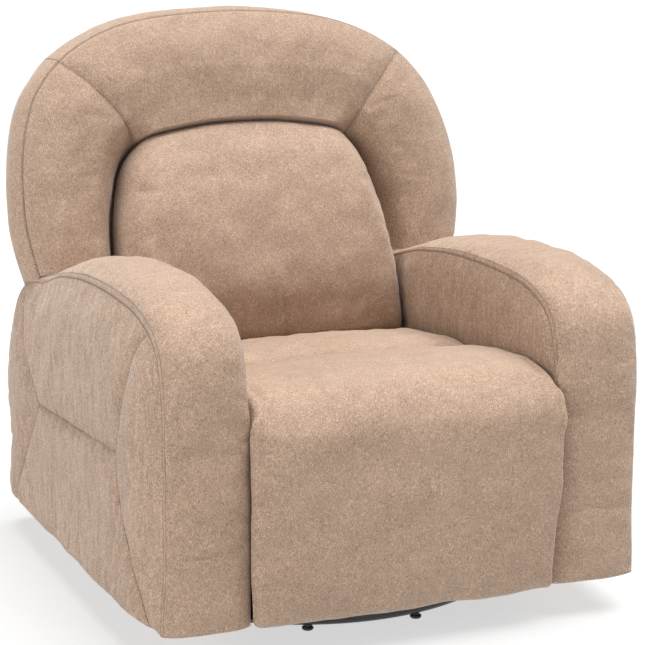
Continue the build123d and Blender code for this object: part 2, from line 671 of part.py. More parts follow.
with BuildPart() as crank_pins:
    for sx in (1, -1):
        with BuildSketch(Plane.YZ.offset(sx * 242)) as cp_sk:
            with Locations(DRIVE_E):
                Circle(LINK_PIN_R)
        extrude(amount=sx * 16)
        with BuildSketch(Plane.YZ.offset(sx * 241)) as cp_head:
            with Locations(DRIVE_E):
                Circle(7)
        extrude(amount=sx * 4)
        with BuildSketch(Plane.YZ.offset(sx * 231)) as cp_ear:
            with Locations(SPRING_EAR):
                Circle(3)
        extrude(amount=sx * 27)
crank_pins.part.label = "crank_pins"
export_step(crank_pins.part, "parts/crank_pins.step")

link_len = hypot(FOOT_B[0] - DRIVE_E[0], FOOT_B[1] - DRIVE_E[1])
ux, uz = (FOOT_B[0] - DRIVE_E[0]) / link_len, (FOOT_B[1] - DRIVE_E[1]) / link_len
for side, sx in (("left", 1), ("right", -1)):
    with BuildPart() as coupler_link:
        with BuildSketch(Plane.YZ.offset(sx * COUP_IN)) as cl_sk:
            with BuildLine() as cl_ln:
                Polyline((DRIVE_E[0] - 9 * uz, DRIVE_E[1] + 9 * ux), (FOOT_B[0] - 9 * uz, FOOT_B[1] + 9 * ux),
                         (FOOT_B[0] + 9 * uz, FOOT_B[1] - 9 * ux), (DRIVE_E[0] + 9 * uz, DRIVE_E[1] - 9 * ux),
                         close=True)
            make_face()
            with Locations(DRIVE_E, FOOT_B):
                Circle(11)
            with Locations(DRIVE_E):
                Circle(LINK_PIN_R + 0.06, mode=Mode.SUBTRACT)
            with Locations(FOOT_B):
                Circle(LINK_PIN_R + 0.3, mode=Mode.SUBTRACT)
        extrude(amount=sx * (COUP_OUT - COUP_IN))
    coupler_link.part.label = "coupler_link_" + side
    export_step(coupler_link.part, "parts/coupler_link_" + side + ".step")

# ---------------------------------------------------------------------------
# Release: a webbing pull at the sitter's right, and the lever it lifts
# ---------------------------------------------------------------------------
PULL_Y = LEVER_P[0] - LEVER_L
with BuildPart() as release_strap:
    with BuildSketch(Plane.YZ.offset(-273.5)) as rs_sk:
        with Locations((PULL_Y, 385)):
            RectangleRounded(30, 206, 8)
        with Locations((PULL_Y + 2, LEVER_P[1])):
            RectangleRounded(16, 11, 4, mode=Mode.SUBTRACT)
    extrude(amount=-3.5)
release_strap.part.label = "release_strap"
export_step(release_strap.part, "parts/release_strap.step")

with BuildPart() as release_lever:
    with BuildSketch(Plane.YZ.offset(-268)) as rl_sk:
        with Locations(((LEVER_P[0] + PULL_Y) / 2, LEVER_P[1])):
            Rectangle(LEVER_L, 14)
        with Locations(LEVER_P):
            Circle(10)
        with Locations((PULL_Y, LEVER_P[1])):
            Circle(7)
        with Locations(LEVER_P):
            Circle(3.05, mode=Mode.SUBTRACT)
    extrude(amount=-3)
    with BuildSketch(Plane.YZ.offset(-270)) as rl_pin:
        with Locations((PULL_Y, LEVER_P[1])):
            Circle(3)
    extrude(amount=-8)
release_lever.part.label = "release_lever"
export_step(release_lever.part, "parts/release_lever.step")

# ---------------------------------------------------------------------------
# Backrest
# ---------------------------------------------------------------------------
seam_xz = [(418, 547), (425, 586), (430, 619), (431, 671), (429, 726), (424, 771), (414, 816), (397, 858),
           (376, 886), (345, 914), (317, 932), (283, 950), (231, 970), (168, 984), (112, 991)]
seam = [(x, (z - BACK_O[1]) / ct) for x, z in seam_xz]
TOP_V = (997.0 - BACK_O[1]) / ct
inner_xz = [(271, 565), (266, 630), (257, 669), (250, 700), (232, 735), (210, 760), (190, 772), (164, 778),
            (132, 783), (65, 791)]
inner = [(x, (z - BACK_O[1]) / ct) for x, z in inner_xz]
INNER_TOP = (793.0 - BACK_O[1]) / ct
arch = [(-x, v) for x, v in seam] + [(0, TOP_V)] + seam[::-1]
cush = [(-x, v) for x, v in inner] + [(0, INNER_TOP)] + inner[::-1]

with BuildPart() as back_rim_pad:
    with BuildSketch(back_plane(BACK_REAR)) as brp_sk:
        with BuildLine() as brp_ln:
            Spline(*arch)
            Polyline(arch[-1], (416, -190), (-416, -190), arch[0])
        make_face()
    extrude(amount=BACK_FRONT - BACK_REAR)
    with BuildSketch(back_plane(-46)) as brp_pocket:
        with BuildLine() as brp_pl:
            Spline(*cush)
            Polyline(cush[-1], (274, -400), (-274, -400), cush[0])
        make_face()
    extrude(amount=200, mode=Mode.SUBTRACT)
    with BuildSketch(back_plane(BACK_REAR - 1)) as brp_cav:
        with BuildLine() as brp_cl:
            Polyline((-274, -400), (-274, -120), (-372, -90), (-372, 120), (-330, 190), (-250, 250), (250, 250),
                     (330, 190), (372, 120), (372, -90), (274, -120), (274, -400), close=True)
        make_face()
    extrude(amount=-46 - BACK_REAR + 2, mode=Mode.SUBTRACT)
    with BuildSketch(Plane.YZ.offset(-600)) as brp_arc:
        with Locations(BACK_H):
            Circle(BACK_ARC)
    extrude(amount=1200, mode=Mode.SUBTRACT)
back_rim_pad.part.label = "back_rim_pad"
export_step(back_rim_pad.part, "parts/back_rim_pad.step")

with BuildPart() as back_rear_cover:
    with BuildSketch(back_plane(BACK_REAR - 0.5)) as brc_sk:
        with BuildLine() as brc_ln:
            cover = [(x * 0.985, v * 0.985 if v > 0 else v) for x, v in arch]
            Spline(*cover)
            Polyline(cover[-1], (408, -200), (-408, -200), cover[0])
        make_face()
    extrude(amount=COVER_REAR - BACK_REAR)
    with BuildSketch(Plane.YZ.offset(-600)) as brc_arc:
        with Locations(BACK_H):
            Circle(BACK_ARC)
    extrude(amount=1200, mode=Mode.SUBTRACT)
back_rear_cover.part.label = "back_rear_cover"
export_step(back_rear_cover.part, "parts/back_rear_cover.step")

with BuildPart() as back_apron:
    with BuildSketch(Plane.YZ.offset(-272)) as ba_sk:
        with BuildLine() as ba_ln:
            ThreePointArc(arc_yz(BACK_ARC + 1, 37.6), arc_yz(BACK_ARC + 1, 50), arc_yz(BACK_ARC + 1, APRON_END))
            Line(arc_yz(BACK_ARC + 1, APRON_END), arc_yz(BACK_ARC + 9, APRON_END))
            ThreePointArc(arc_yz(BACK_ARC + 9, APRON_END), arc_yz(BACK_ARC + 9, 50), arc_yz(BACK_ARC + 9, 37.6))
            Line(arc_yz(BACK_ARC + 9, 37.6), arc_yz(BACK_ARC + 1, 37.6))
        make_face()
    extrude(amount=544)
back_apron.part.label = "back_apron"
export_step(back_apron.part, "parts/back_apron.step")

with BuildPart() as back_cushion:
    with BuildSketch(Plane.YZ.offset(-290)) as bc_sk:
        with BuildLine() as bc_ln:
            Polyline(back_yz(97, -44), back_yz(97, -10), (276, 768), (224, 700), (187, 600), (154, 500),
                     (134, 430), (144, 404), (264, 404), (298, 495), close=True)
        make_face()
    extrude(amount=580)
    with BuildSketch(back_plane(-60)) as bc_in:
        with BuildLine() as bc_il:
            trim = [(x - 2.5 if x > 0 else x + 2.5 if x < 0 else 0, v - 2.5) for x, v in cush]
            Spline(*trim)
            Polyline(trim[-1], (270, -420), (-270, -420), trim[0])
        make_face()
    extrude(amount=400, mode=Mode.INTERSECT)
back_cushion.part.label = "back_cushion"
export_step(back_cushion.part, "parts/back_cushion.step")

with BuildPart() as back_posts:
    with BuildSketch(back_plane(POST_R)) as bp_sk:
        with Locations((-(POST_IN + POST_OUT) / 2, -72), ((POST_IN + POST_OUT) / 2, -72)):
            Rectangle(POST_OUT - POST_IN, 624)
    extrude(amount=POST_F - POST_R)
    for sx in (1, -1):
        with BuildSketch(Plane.YZ.offset(sx * (POST_IN - 1))) as bp_holes:
            with Locations(back_yz(-225, -63), back_yz(-275, -63)):
                Circle(4.1)
        extrude(amount=sx * 34, mode=Mode.SUBTRACT)
back_posts.part.label = "back_posts"
export_step(back_posts.part, "parts/back_posts.step")

with BuildPart() as back_top_rail:
    with BuildSketch(back_plane(POST_R)) as btr_sk:
        with Locations((0, 220)):
            Rectangle(2 * POST_IN - 0.4, 40)
    extrude(amount=POST_F - POST_R)
back_top_rail.part.label = "back_top_rail"
export_step(back_top_rail.part, "parts/back_top_rail.step")

with BuildPart() as back_lower_rail:
    with BuildSketch(back_plane(POST_R)) as blr_sk:
        with Locations((0, -316)):
            Rectangle(2 * POST_IN - 0.4, 34)
    extrude(amount=POST_F - POST_R)
back_lower_rail.part.label = "back_lower_rail"
export_step(back_lower_rail.part, "parts/back_lower_rail.step")

with BuildPart() as back_springs:
    for xc in (-150, -50, 50, 150):
        pts, n = [], 20
        for i in range(n + 1):
            v = -325 + i * 555.0 / n
            y, z = back_yz(v, POST_F + WIRE_R + 0.2)
            pts.append((xc + (20 if i % 2 else -20), y, z))
        with BuildLine() as bs_path:
            FilletPolyline(*pts, radius=10)
        with BuildSketch(Plane(origin=bs_path.line @ 0, z_dir=bs_path.line % 0)) as bs_wire:
            Circle(WIRE_R)
        sweep(sections=bs_wire.sketch, path=bs_path.line)
back_springs.part.label = "back_springs"
export_step(back_springs.part, "parts/back_springs.step")

for side, sx in (("left", 1), ("right", -1)):
    with BuildPart() as back_bracket:
        with BuildSketch(Plane.YZ.offset(sx * COUP_IN)) as bb_sk:
            with BuildLine() as bb_ln:
                Polyline(back_yz(-200, -77), back_yz(-200, -49), (236, 312), (250, 282), (266, 290), close=True)
            make_face()
            with Locations(BACK_H):
                Circle(18)
                Circle(6.05, mode=Mode.SUBTRACT)
            with Locations(back_yz(-225, -63), back_yz(-275, -63)):
                Circle(4.1, mode=Mode.SUBTRACT)
        extrude(amount=sx * (COUP_OUT - COUP_IN))
    back_bracket.part.label = "back_bracket_" + side
    export_step(back_bracket.part, "parts/back_bracket_" + side + ".step")

with BuildPart() as bracket_bolts:
    for sx in (1, -1):
        with BuildSketch(Plane.YZ.offset(sx * (POST_IN - 5))) as bbo_sk:
            with Locations(back_yz(-225, -63), back_yz(-275, -63)):
                Circle(4)
        extrude(amount=sx * 46)
        with BuildSketch(Plane.YZ.offset(sx * COUP_OUT)) as bbo_head:
            with Locations(back_yz(-225, -63), back_yz(-275, -63)):
                RegularPolygon(6.5, 6)
        extrude(amount=sx * 5)
        with BuildSketch(Plane.YZ.offset(sx * POST_OUT)) as bbo_sp:
            with Locations(back_yz(-225, -63), back_yz(-275, -63)):
                Circle(7)
        extrude(amount=sx * (COUP_IN - POST_OUT))
        with BuildSketch(Plane.YZ.offset(sx * POST_IN)) as bbo_nut:
            with Locations(back_yz(-225, -63), back_yz(-275, -63)):
                RegularPolygon(6.5, 6)
        extrude(amount=-sx * 5)
bracket_bolts.part.label = "bracket_bolts"
export_step(bracket_bolts.part, "parts/bracket_bolts.step")
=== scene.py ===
import math
import bpy
import bmesh
import numpy as np
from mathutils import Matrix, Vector
from mathutils.bvhtree import BVHTree
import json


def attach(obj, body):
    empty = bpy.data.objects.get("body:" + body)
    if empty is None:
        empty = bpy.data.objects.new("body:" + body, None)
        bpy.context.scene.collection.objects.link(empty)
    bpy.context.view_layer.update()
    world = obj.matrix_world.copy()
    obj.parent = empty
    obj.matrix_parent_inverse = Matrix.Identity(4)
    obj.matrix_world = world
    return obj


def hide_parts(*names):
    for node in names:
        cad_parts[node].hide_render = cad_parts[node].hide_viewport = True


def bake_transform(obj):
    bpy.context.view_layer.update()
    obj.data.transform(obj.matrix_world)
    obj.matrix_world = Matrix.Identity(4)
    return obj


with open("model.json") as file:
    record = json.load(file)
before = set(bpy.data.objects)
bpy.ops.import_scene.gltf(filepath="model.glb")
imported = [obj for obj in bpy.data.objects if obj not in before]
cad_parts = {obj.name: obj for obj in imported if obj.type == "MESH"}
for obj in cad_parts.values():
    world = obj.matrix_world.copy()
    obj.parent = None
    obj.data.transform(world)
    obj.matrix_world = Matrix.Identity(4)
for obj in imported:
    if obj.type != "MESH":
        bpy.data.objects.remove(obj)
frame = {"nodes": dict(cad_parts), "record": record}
scene = bpy.context.scene

# ---------------------------------------------------------------------------
# Camera, floor and light
# ---------------------------------------------------------------------------
cam_data = bpy.data.cameras.new("camera")
cam_data.sensor_width = 36.0
cam_data.lens = 119.6
cam_data.clip_end = 200.0
camera = bpy.data.objects.new("camera", cam_data)
scene.collection.objects.link(camera)
camera.location = (-1.4388, -3.5488, 1.2774)
camera.rotation_euler = (Vector((0.019, -0.05, 0.467)) - camera.location).to_track_quat("-Z", "Y").to_euler()
scene.camera = camera
scene.view_settings.view_transform = "Standard"

world = bpy.data.worlds.new("studio")
scene.world = world
world.use_nodes = True
world.node_tree.nodes["Background"].inputs["Color"].default_value = (1.0, 1.0, 1.0, 1.0)
world.node_tree.nodes["Background"].inputs["Strength"].default_value = 0.18


def sun(name, frm, strength, angle, color=(1, 1, 1)):
    d = bpy.data.lights.new(name, "SUN")
    d.energy = strength
    d.angle = math.radians(angle)
    d.color = color
    o = bpy.data.objects.new(name, d)
    scene.collection.objects.link(o)
    o.rotation_euler = (-Vector(frm)).to_track_quat("-Z", "Y").to_euler()
    return o


sun("key_top", (0.22, -0.06, 1.0), 5.1, 56)
sun("fill_left", (-1.0, -0.35, 0.06), 2.4, 60)


# ---------------------------------------------------------------------------
# Node materials
# ---------------------------------------------------------------------------
def material(name):
    m = bpy.data.materials.new(name)
    m.use_nodes = True
    nt = m.node_tree
    nt.nodes.clear()
    out = nt.nodes.new("ShaderNodeOutputMaterial")
    b = nt.nodes.new("ShaderNodeBsdfPrincipled")
    nt.links.new(b.outputs["BSDF"], out.inputs["Surface"])
    return m, nt, b


def coords(nt, scale=(1, 1, 1)):
    tc = nt.nodes.new("ShaderNodeTexCoord")
    if tuple(scale) == (1, 1, 1):
        return tc.outputs["Object"]
    mp = nt.nodes.new("ShaderNodeMapping")
    mp.inputs["Scale"].default_value = scale
    nt.links.new(tc.outputs["Object"], mp.inputs["Vector"])
    return mp.outputs["Vector"]


def noise(nt, vec, scale, detail=2.0, rough=0.5, distortion=0.0):
    n = nt.nodes.new("ShaderNodeTexNoise")
    n.inputs["Scale"].default_value = scale
    n.inputs["Detail"].default_value = detail
    n.inputs["Roughness"].default_value = rough
    n.inputs["Distortion"].default_value = distortion
    nt.links.new(vec, n.inputs["Vector"])
    return n.outputs["Fac"]


def ramp(nt, fac, stops):
    r = nt.nodes.new("ShaderNodeValToRGB")
    el = r.color_ramp.elements
    while len(el) < len(stops):
        el.new(0.5)
    for e, (pos, col) in zip(el, stops):
        e.position = pos
        e.color = (*col, 1.0)
    nt.links.new(fac, r.inputs["Fac"])
    return r.outputs["Color"]


def remap(nt, val, a, b, c, d):
    m = nt.nodes.new("ShaderNodeMapRange")
    for k, v in zip(("From Min", "From Max", "To Min", "To Max"), (a, b, c, d)):
        m.inputs[k].default_value = v
    nt.links.new(val, m.inputs["Value"])
    return m.outputs["Result"]


def times(nt, col, val):
    s = nt.nodes.new("ShaderNodeVectorMath")
    s.operation = "SCALE"
    nt.links.new(col, s.inputs[0])
    nt.links.new(val, s.inputs["Scale"])
    return s.outputs["Vector"]


def mathn(nt, op, a, b):
    m = nt.nodes.new("ShaderNodeMath")
    m.operation = op
    for k, v in enumerate((a, b)):
        if isinstance(v, (int, float)):
            m.inputs[k].default_value = v
        else:
            nt.links.new(v, m.inputs[k])
    return m.outputs["Value"]


def bump(nt, bsdf, height, strength, distance, prev=None):
    b = nt.nodes.new("ShaderNodeBump")
    b.inputs["Strength"].default_value = strength
    b.inputs["Distance"].default_value = distance
    nt.links.new(height, b.inputs["Height"])
    if prev is not None:
        nt.links.new(prev, b.inputs["Normal"])
    nt.links.new(b.outputs["Normal"], bsdf.inputs["Normal"])
    return b.outputs["Normal"]


def velvet(name, streak=0.0, streak_scale=(1, 1, 0.07), tone=1.0):
    """Short-nap beige upholstery velvet: cloudy nap, fine fibre grain, seams darkened with a dark seam line and
    painted crease shade.
    """
    m, nt, b = material(name)
    v = coords(nt)
    cloud = noise(nt, v, 6.0, 4.0, 0.6, 0.4)
    base = ramp(nt, cloud, [(0.30, (0.432 * tone, 0.300 * tone, 0.217 * tone)),
                            (0.50, (0.454 * tone, 0.319 * tone, 0.232 * tone)),
                            (0.70, (0.472 * tone, 0.335 * tone, 0.245 * tone))])
    nap = noise(nt, v, 30.0, 3.0, 0.6, 0.6)
    fleck = noise(nt, v, 150.0, 3.0, 0.7, 0.3)
    lay = coords(nt, (1.0, 0.45, 0.42))
    fibre = noise(nt, lay, 600.0, 3.0, 0.8)
    fine = noise(nt, lay, 1050.0, 1.0, 0.5)
    hue = nt.nodes.new("ShaderNodeVectorMath")
    hue.operation = "MULTIPLY"
    nt.links.new(base, hue.inputs[0])
    nt.links.new(ramp(nt, noise(nt, v, 270.0, 2.0, 0.7), [(0.36, (1.025, 0.992, 0.97)), (0.64, (0.975, 1.008, 1.035))]), hue.inputs[1])
    col = times(nt, hue.outputs["Vector"], remap(nt, nap, 0.32, 0.68, 0.945, 1.055))
    col = times(nt, col, remap(nt, fleck, 0.32, 0.68, 0.925, 1.065))
    col = times(nt, col, remap(nt, fibre, 0.30, 0.70, 0.56, 1.28))
    col = times(nt, col, remap(nt, fine, 0.30, 0.70, 0.64, 1.30))
    if streak:
        sv = coords(nt, streak_scale)
        lines = noise(nt, sv, 330.0, 3.0, 0.6)
        col = times(nt, col, remap(nt, lines, 0.32, 0.68, 1 - streak, 1 + streak))
        broad = noise(nt, coords(nt, (1.0, 1.0, 0.12)), 55.0, 3.0, 0.65, 0.5)
        col = times(nt, col, remap(nt, broad, 0.32, 0.68, 1 - 0.4 * streak, 1 + 0.4 * streak))
    # painted shade: the per-point seam value darkens the colour down to 0.58 along the seams, a dark seam line plus
    # painted shade in the seam creases
    seam_line_and_shade_attr = nt.nodes.new("ShaderNodeAttribute")
    seam_line_and_shade_attr.attribute_name = "seam"
    col = times(nt, col, remap(nt, seam_line_and_shade_attr.outputs["Fac"], 0.0, 1.0, 1.0, 0.58))
    nt.links.new(col, b.inputs["Base Color"])
    h = mathn(nt, "ADD", fibre, mathn(nt, "MULTIPLY", fine, 0.6))
    soft = bump(nt, b, nap, 0.35, 0.0016)
    bump(nt, b, h, 0.42, 0.0011, soft)
    nt.links.new(remap(nt, fibre, 0.3, 0.7, 0.98, 0.86), b.inputs["Roughness"])
    b.inputs["Specular IOR Level"].default_value = 0.18
    b.inputs["Sheen Weight"].default_value = 0.34
    b.inputs["Sheen Roughness"].default_value = 0.42
    b.inputs["Sheen Tint"].default_value = (1.0, 0.95, 0.90, 1.0)
    return m


def thread(name):
    m, nt, b = material(name)
    v = coords(nt)
    twist = noise(nt, v, 1600.0, 2.0, 0.6)
    tone = noise(nt, v, 40.0, 2.0, 0.5)
    base = ramp(nt, tone, [(0.3, (0.205, 0.136, 0.092)), (0.7, (0.270, 0.186, 0.131))])
    nt.links.new(times(nt, base, remap(nt, twist, 0.3, 0.7, 0.75, 1.25)), b.inputs["Base Color"])
    bump(nt, b, twist, 0.5, 0.0003)
    b.inputs["Roughness"].default_value = 0.72
    b.inputs["Sheen Weight"].default_value = 0.1
    return m


def painted(name, dark, light, rough=(0.32, 0.5), peel=0.00018):
    m, nt, b = material(name)
    v = coords(nt)
    dust = noise(nt, v, 22.0, 5.0, 0.65)
    orange = noise(nt, v, 620.0, 2.0, 0.5)
    nt.links.new(ramp(nt, dust, [(0.35, dark), (0.75, light)]), b.inputs["Base Color"])
    nt.links.new(remap(nt, dust, 0.3, 0.7, rough[0], rough[1]), b.inputs["Roughness"])
    bump(nt, b, orange, 0.35, peel)
    b.inputs["Coat Weight"].default_value = 0.15
    return m


def metal(name, dark, light, rough=(0.25, 0.45), grain=(900, 900, 40)):
    m, nt, b = material(name)
    v = coords(nt)
    spangle = noise(nt, v, 60.0, 4.0, 0.6, 1.2)
    gv = coords(nt, (1.0, grain[2] / grain[0], 1.0))
    brush = noise(nt, gv, grain[0], 2.0, 0.6)
    c = ramp(nt, spangle, [(0.3, dark), (0.7, light)])
    nt.links.new(times(nt, c, remap(nt, brush, 0.3, 0.7, 0.9, 1.1)), b.inputs["Base Color"])
    nt.links.new(remap(nt, brush, 0.3, 0.7, rough[0], rough[1]), b.inputs["Roughness"])
    b.inputs["Metallic"].default_value = 1.0
    bump(nt, b, brush, 0.12, 0.0001)
    return m


def plywood(name):
    m, nt, b = material(name)
    gv = coords(nt, (1.0, 0.06, 0.06))
    grain = noise(nt, gv, 320.0, 4.0, 0.65, 0.8)
    v = coords(nt)
    big = noise(nt, v, 9.0, 3.0, 0.5)
    base = ramp(nt, grain, [(0.3, (0.36, 0.235, 0.125)), (0.55, (0.52, 0.37, 0.215)), (0.75, (0.60, 0.45, 0.28))])
    nt.links.new(times(nt, base, remap(nt, big, 0.3, 0.7, 0.88, 1.08)), b.inputs["Base Color"])
    bump(nt, b, grain, 0.3, 0.0004)
    nt.links.new(remap(nt, grain, 0.3, 0.7, 0.72, 0.55), b.inputs["Roughness"])
    return m


def woven(name, dark, light, scale):
    m, nt, b = material(name)
    v = coords(nt)
    waves_h = []
    for axis in ("X", "Y", "Z"):
        w = nt.nodes.new("ShaderNodeTexWave")
        w.wave_type = "BANDS"
        w.bands_direction = axis
        w.inputs["Scale"].default_value = scale
        w.inputs["Distortion"].default_value = 0.6
        w.inputs["Detail"].default_value = 1.0
        nt.links.new(v, w.inputs["Vector"])
        waves_h.append(w.outputs["Fac"])
    h = mathn(nt, "MULTIPLY", mathn(nt, "ADD", waves_h[0], waves_h[1]), waves_h[2])
    fuzz = noise(nt, v, 500.0, 2.0, 0.6)
    base = ramp(nt, h, [(0.2, dark), (0.9, light)])
    nt.links.new(times(nt, base, remap(nt, fuzz, 0.3, 0.7, 0.8, 1.2)), b.inputs["Base Color"])
    bump(nt, b, h, 0.5, 0.0005)
    b.inputs["Roughness"].default_value = 0.9
    b.inputs["Sheen Weight"].default_value = 0.1
    return m


VELVET = velvet("beige_velvet_pile")
VELVET_SIDE = velvet("beige_velvet_side", streak=0.17)
THREAD = thread("seam_thread")
SLOT_MATS = {
    "black_steel": painted("black_enamel", (0.010, 0.010, 0.011), (0.026, 0.026, 0.028)),
    "black_plastic": painted("black_nylon", (0.012, 0.012, 0.012), (0.030, 0.030, 0.030), (0.5, 0.7), 0.0003),
    "zinc_steel": metal("zinc_plate", (0.42, 0.42, 0.43), (0.62, 0.62, 0.62)),
    "fastener_steel": metal("fastener_zinc", (0.36, 0.35, 0.33), (0.58, 0.57, 0.53), (0.22, 0.38)),
    "spring_wire": metal("spring_wire_steel", (0.16, 0.16, 0.17), (0.30, 0.30, 0.31), (0.3, 0.5)),
    "plywood": plywood("birch_plywood"),
    "black_lining": woven("black_nonwoven", (0.006, 0.006, 0.006), (0.022, 0.022, 0.022), 260.0),
    "pull_webbing": woven("brown_webbing", (0.11, 0.075, 0.05), (0.27, 0.19, 0.135), 330.0),
    "beige_velvet": VELVET,
}
for part in frame["record"]["subparts"]:
    node = frame["nodes"].get(part.get("node") or part.get("name"))
    mat = SLOT_MATS.get(part.get("material_slot"))
    if node is None or mat is None:
        continue
    node.data.materials.clear()
    node.data.materials.append(mat)


# ---------------------------------------------------------------------------
# Curves and grids, in millimetres
# ---------------------------------------------------------------------------
def spline(points, per=24):
    """A smooth dense polyline through the points, and the index of each point on it."""
    p = np.asarray(points, float)
    d = np.r_[0, np.cumsum(np.linalg.norm(np.diff(p, axis=0), axis=1))]
    m = np.gradient(p, d, axis=0)
    out = []
    t = np.linspace(0, 1, per, endpoint=False)[:, None]
    a, b, c, e = 2 * t**3 - 3 * t**2 + 1, t**3 - 2 * t**2 + t, -2 * t**3 + 3 * t**2, t**3 - t**2
    for i in range(len(p) - 1):
        h = d[i + 1] - d[i]
        out.append(a * p[i] + b * h * m[i] + c * p[i + 1] + e * h * m[i + 1])
    out.append(p[-1:])
    return np.vstack(out), np.arange(len(p)) * per


def run(c):
    return np.r_[0, np.cumsum(np.linalg.norm(np.diff(c, axis=0), axis=1))]


def at(c, s):
    L = run(c)
    return np.stack([np.interp(s, L, c[:, k]) for k in range(c.shape[1])], -1)


def resample(c, n):
    return at(c, np.linspace(0, run(c)[-1], n))


def smooth(x):
    x = np.clip(x, 0, 1)
    return x * x * (3 - 2 * x)


def to_lines(p, *lines):
    """Least distance of each point of p (..., 2) to some polylines."""
    q = p.reshape(-1, 2)
    best = np.full(len(q), 1e9)
    for ln in lines:
        ln = np.asarray(ln, float)
        for a, b in zip(ln[:-1], ln[1:]):
            ab = b - a
            t = np.clip(((q - a) @ ab) / max(ab @ ab, 1e-9), 0, 1)
            best = np.minimum(best, np.hypot(*(q - a - t[:, None] * ab).T))
    return best.reshape(p.shape[:-1])


def coons(bot, top, left, right, us, vs):
    """Patch between four boundary curves; bot and top follow us, left and right follow vs."""
    u, v = us[:, None, None], vs[None, :, None]
    return ((1 - v) * bot[:, None] + v * top[:, None] + (1 - u) * left[None] + u * right[None]
            - (1 - u) * (1 - v) * bot[0] - u * (1 - v) * bot[-1] - (1 - u) * v * top[0] - u * v * top[-1])


def ripple(p, seed, lo, hi, n=22, squeeze=(1, 1, 1)):
    """A smooth random field of about unit size with wavelengths between lo and hi."""
    rng = np.random.default_rng(seed)
    out = np.zeros(len(p))
    for _ in range(n):
        d = rng.normal(size=3)
        d /= np.linalg.norm(d)
        k = 2 * math.pi / rng.uniform(lo, hi)
        out += np.sin(p @ (d * squeeze) * k + rng.uniform(0, 2 * math.pi))
    return out / math.sqrt(n / 2)


class Shell:
    """Grids of points gathered into one welded mesh, with per-point values."""

    def __init__(self):
        self.p, self.q, self.val, self.n = [], [], {"seam": [], "off": [], "pin": [], "soft": []}, 0

    def grid(self, P, wrap_u=False, wrap_v=False, **val):
        nu, nv = P.shape[:2]
        idx = np.arange(nu * nv).reshape(nu, nv) + self.n
        iu = np.arange(nu if wrap_u else nu - 1)
        iv = np.arange(nv if wrap_v else nv - 1)
        a = idx[np.ix_(iu, iv)]
        b = idx[np.ix_((iu + 1) % nu, iv)]
        c = idx[np.ix_((iu + 1) % nu, (iv + 1) % nv)]
        d = idx[np.ix_(iu, (iv + 1) % nv)]
        self.q.append(np.stack([a, b, c, d], -1).reshape(-1, 4))
        self.p.append(P.reshape(-1, 3))
        for k in self.val:
            x = val.get(k, 1.0 if k == "soft" else 0.0)
            self.val[k].append(np.broadcast_to(np.asarray(x, float), (nu, nv)).reshape(-1))
        self.n += nu * nv
        return idx

    def object(self, name, mat, side_mat=None):
        P = np.vstack(self.p)
        Q = np.vstack(self.q)
        val = {k: np.concatenate(v) for k, v in self.val.items()}
        key = np.round(P * 500).astype(np.int64)
        _, first, inv = np.unique(key, axis=0, return_index=True, return_inverse=True)
        inv = inv.reshape(-1)
        self.index = inv
        P = P[first]
        n = len(first)
        out = {}
        for k, v in val.items():
            o = np.zeros(n) if k in ("seam", "pin") else np.full(n, 1e9)
            if k in ("seam", "pin"):
                np.maximum.at(o, inv, v)
            else:
                s, c = np.zeros(n), np.zeros(n)
                np.add.at(s, inv, v)
                np.add.at(c, inv, 1)
                o = s / c
            out[k] = o
        faces = []
        for f in inv[Q].tolist():
            g = [f[i] for i in range(4) if f[i] != f[i - 1]]
            if len(set(g)) >= 3:
                faces.append(g)
        me = bpy.data.meshes.new(name)
        me.from_pydata((P * 0.001).tolist(), [], faces)
        bm = bmesh.new()
        bm.from_mesh(me)
        bmesh.ops.recalc_face_normals(bm, faces=bm.faces)
        bm.to_mesh(me)
        bm.free()
        me.polygons.foreach_set("use_smooth", [True] * len(me.polygons))
        me.materials.append(mat)
        o = bpy.data.objects.new(name, me)
        scene.collection.objects.link(o)
        self.out = out
        # the seam value stored here darkens the fabric colour: dark seam lines plus painted shade in the seam creases
        seam_line_and_shade_attr = me.attributes.new("seam", "FLOAT", "POINT")
        seam_line_and_shade_attr.data.foreach_set("value", out["seam"].astype(np.float32))
        return o


def get_co(o):
    a = np.empty(len(o.data.vertices) * 3, np.float32)
    o.data.vertices.foreach_get("co", a)
    return a.reshape(-1, 3).astype(float) * 1000.0


def set_co(o, c):
    o.data.vertices.foreach_set("co", (np.asarray(c) * 0.001).astype(np.float32).ravel())
    o.data.update()


def get_no(o):
    a = np.empty(len(o.data.vertices) * 3, np.float32)
    o.data.vertices.foreach_get("normal", a)
    return a.reshape(-1, 3).astype(float)


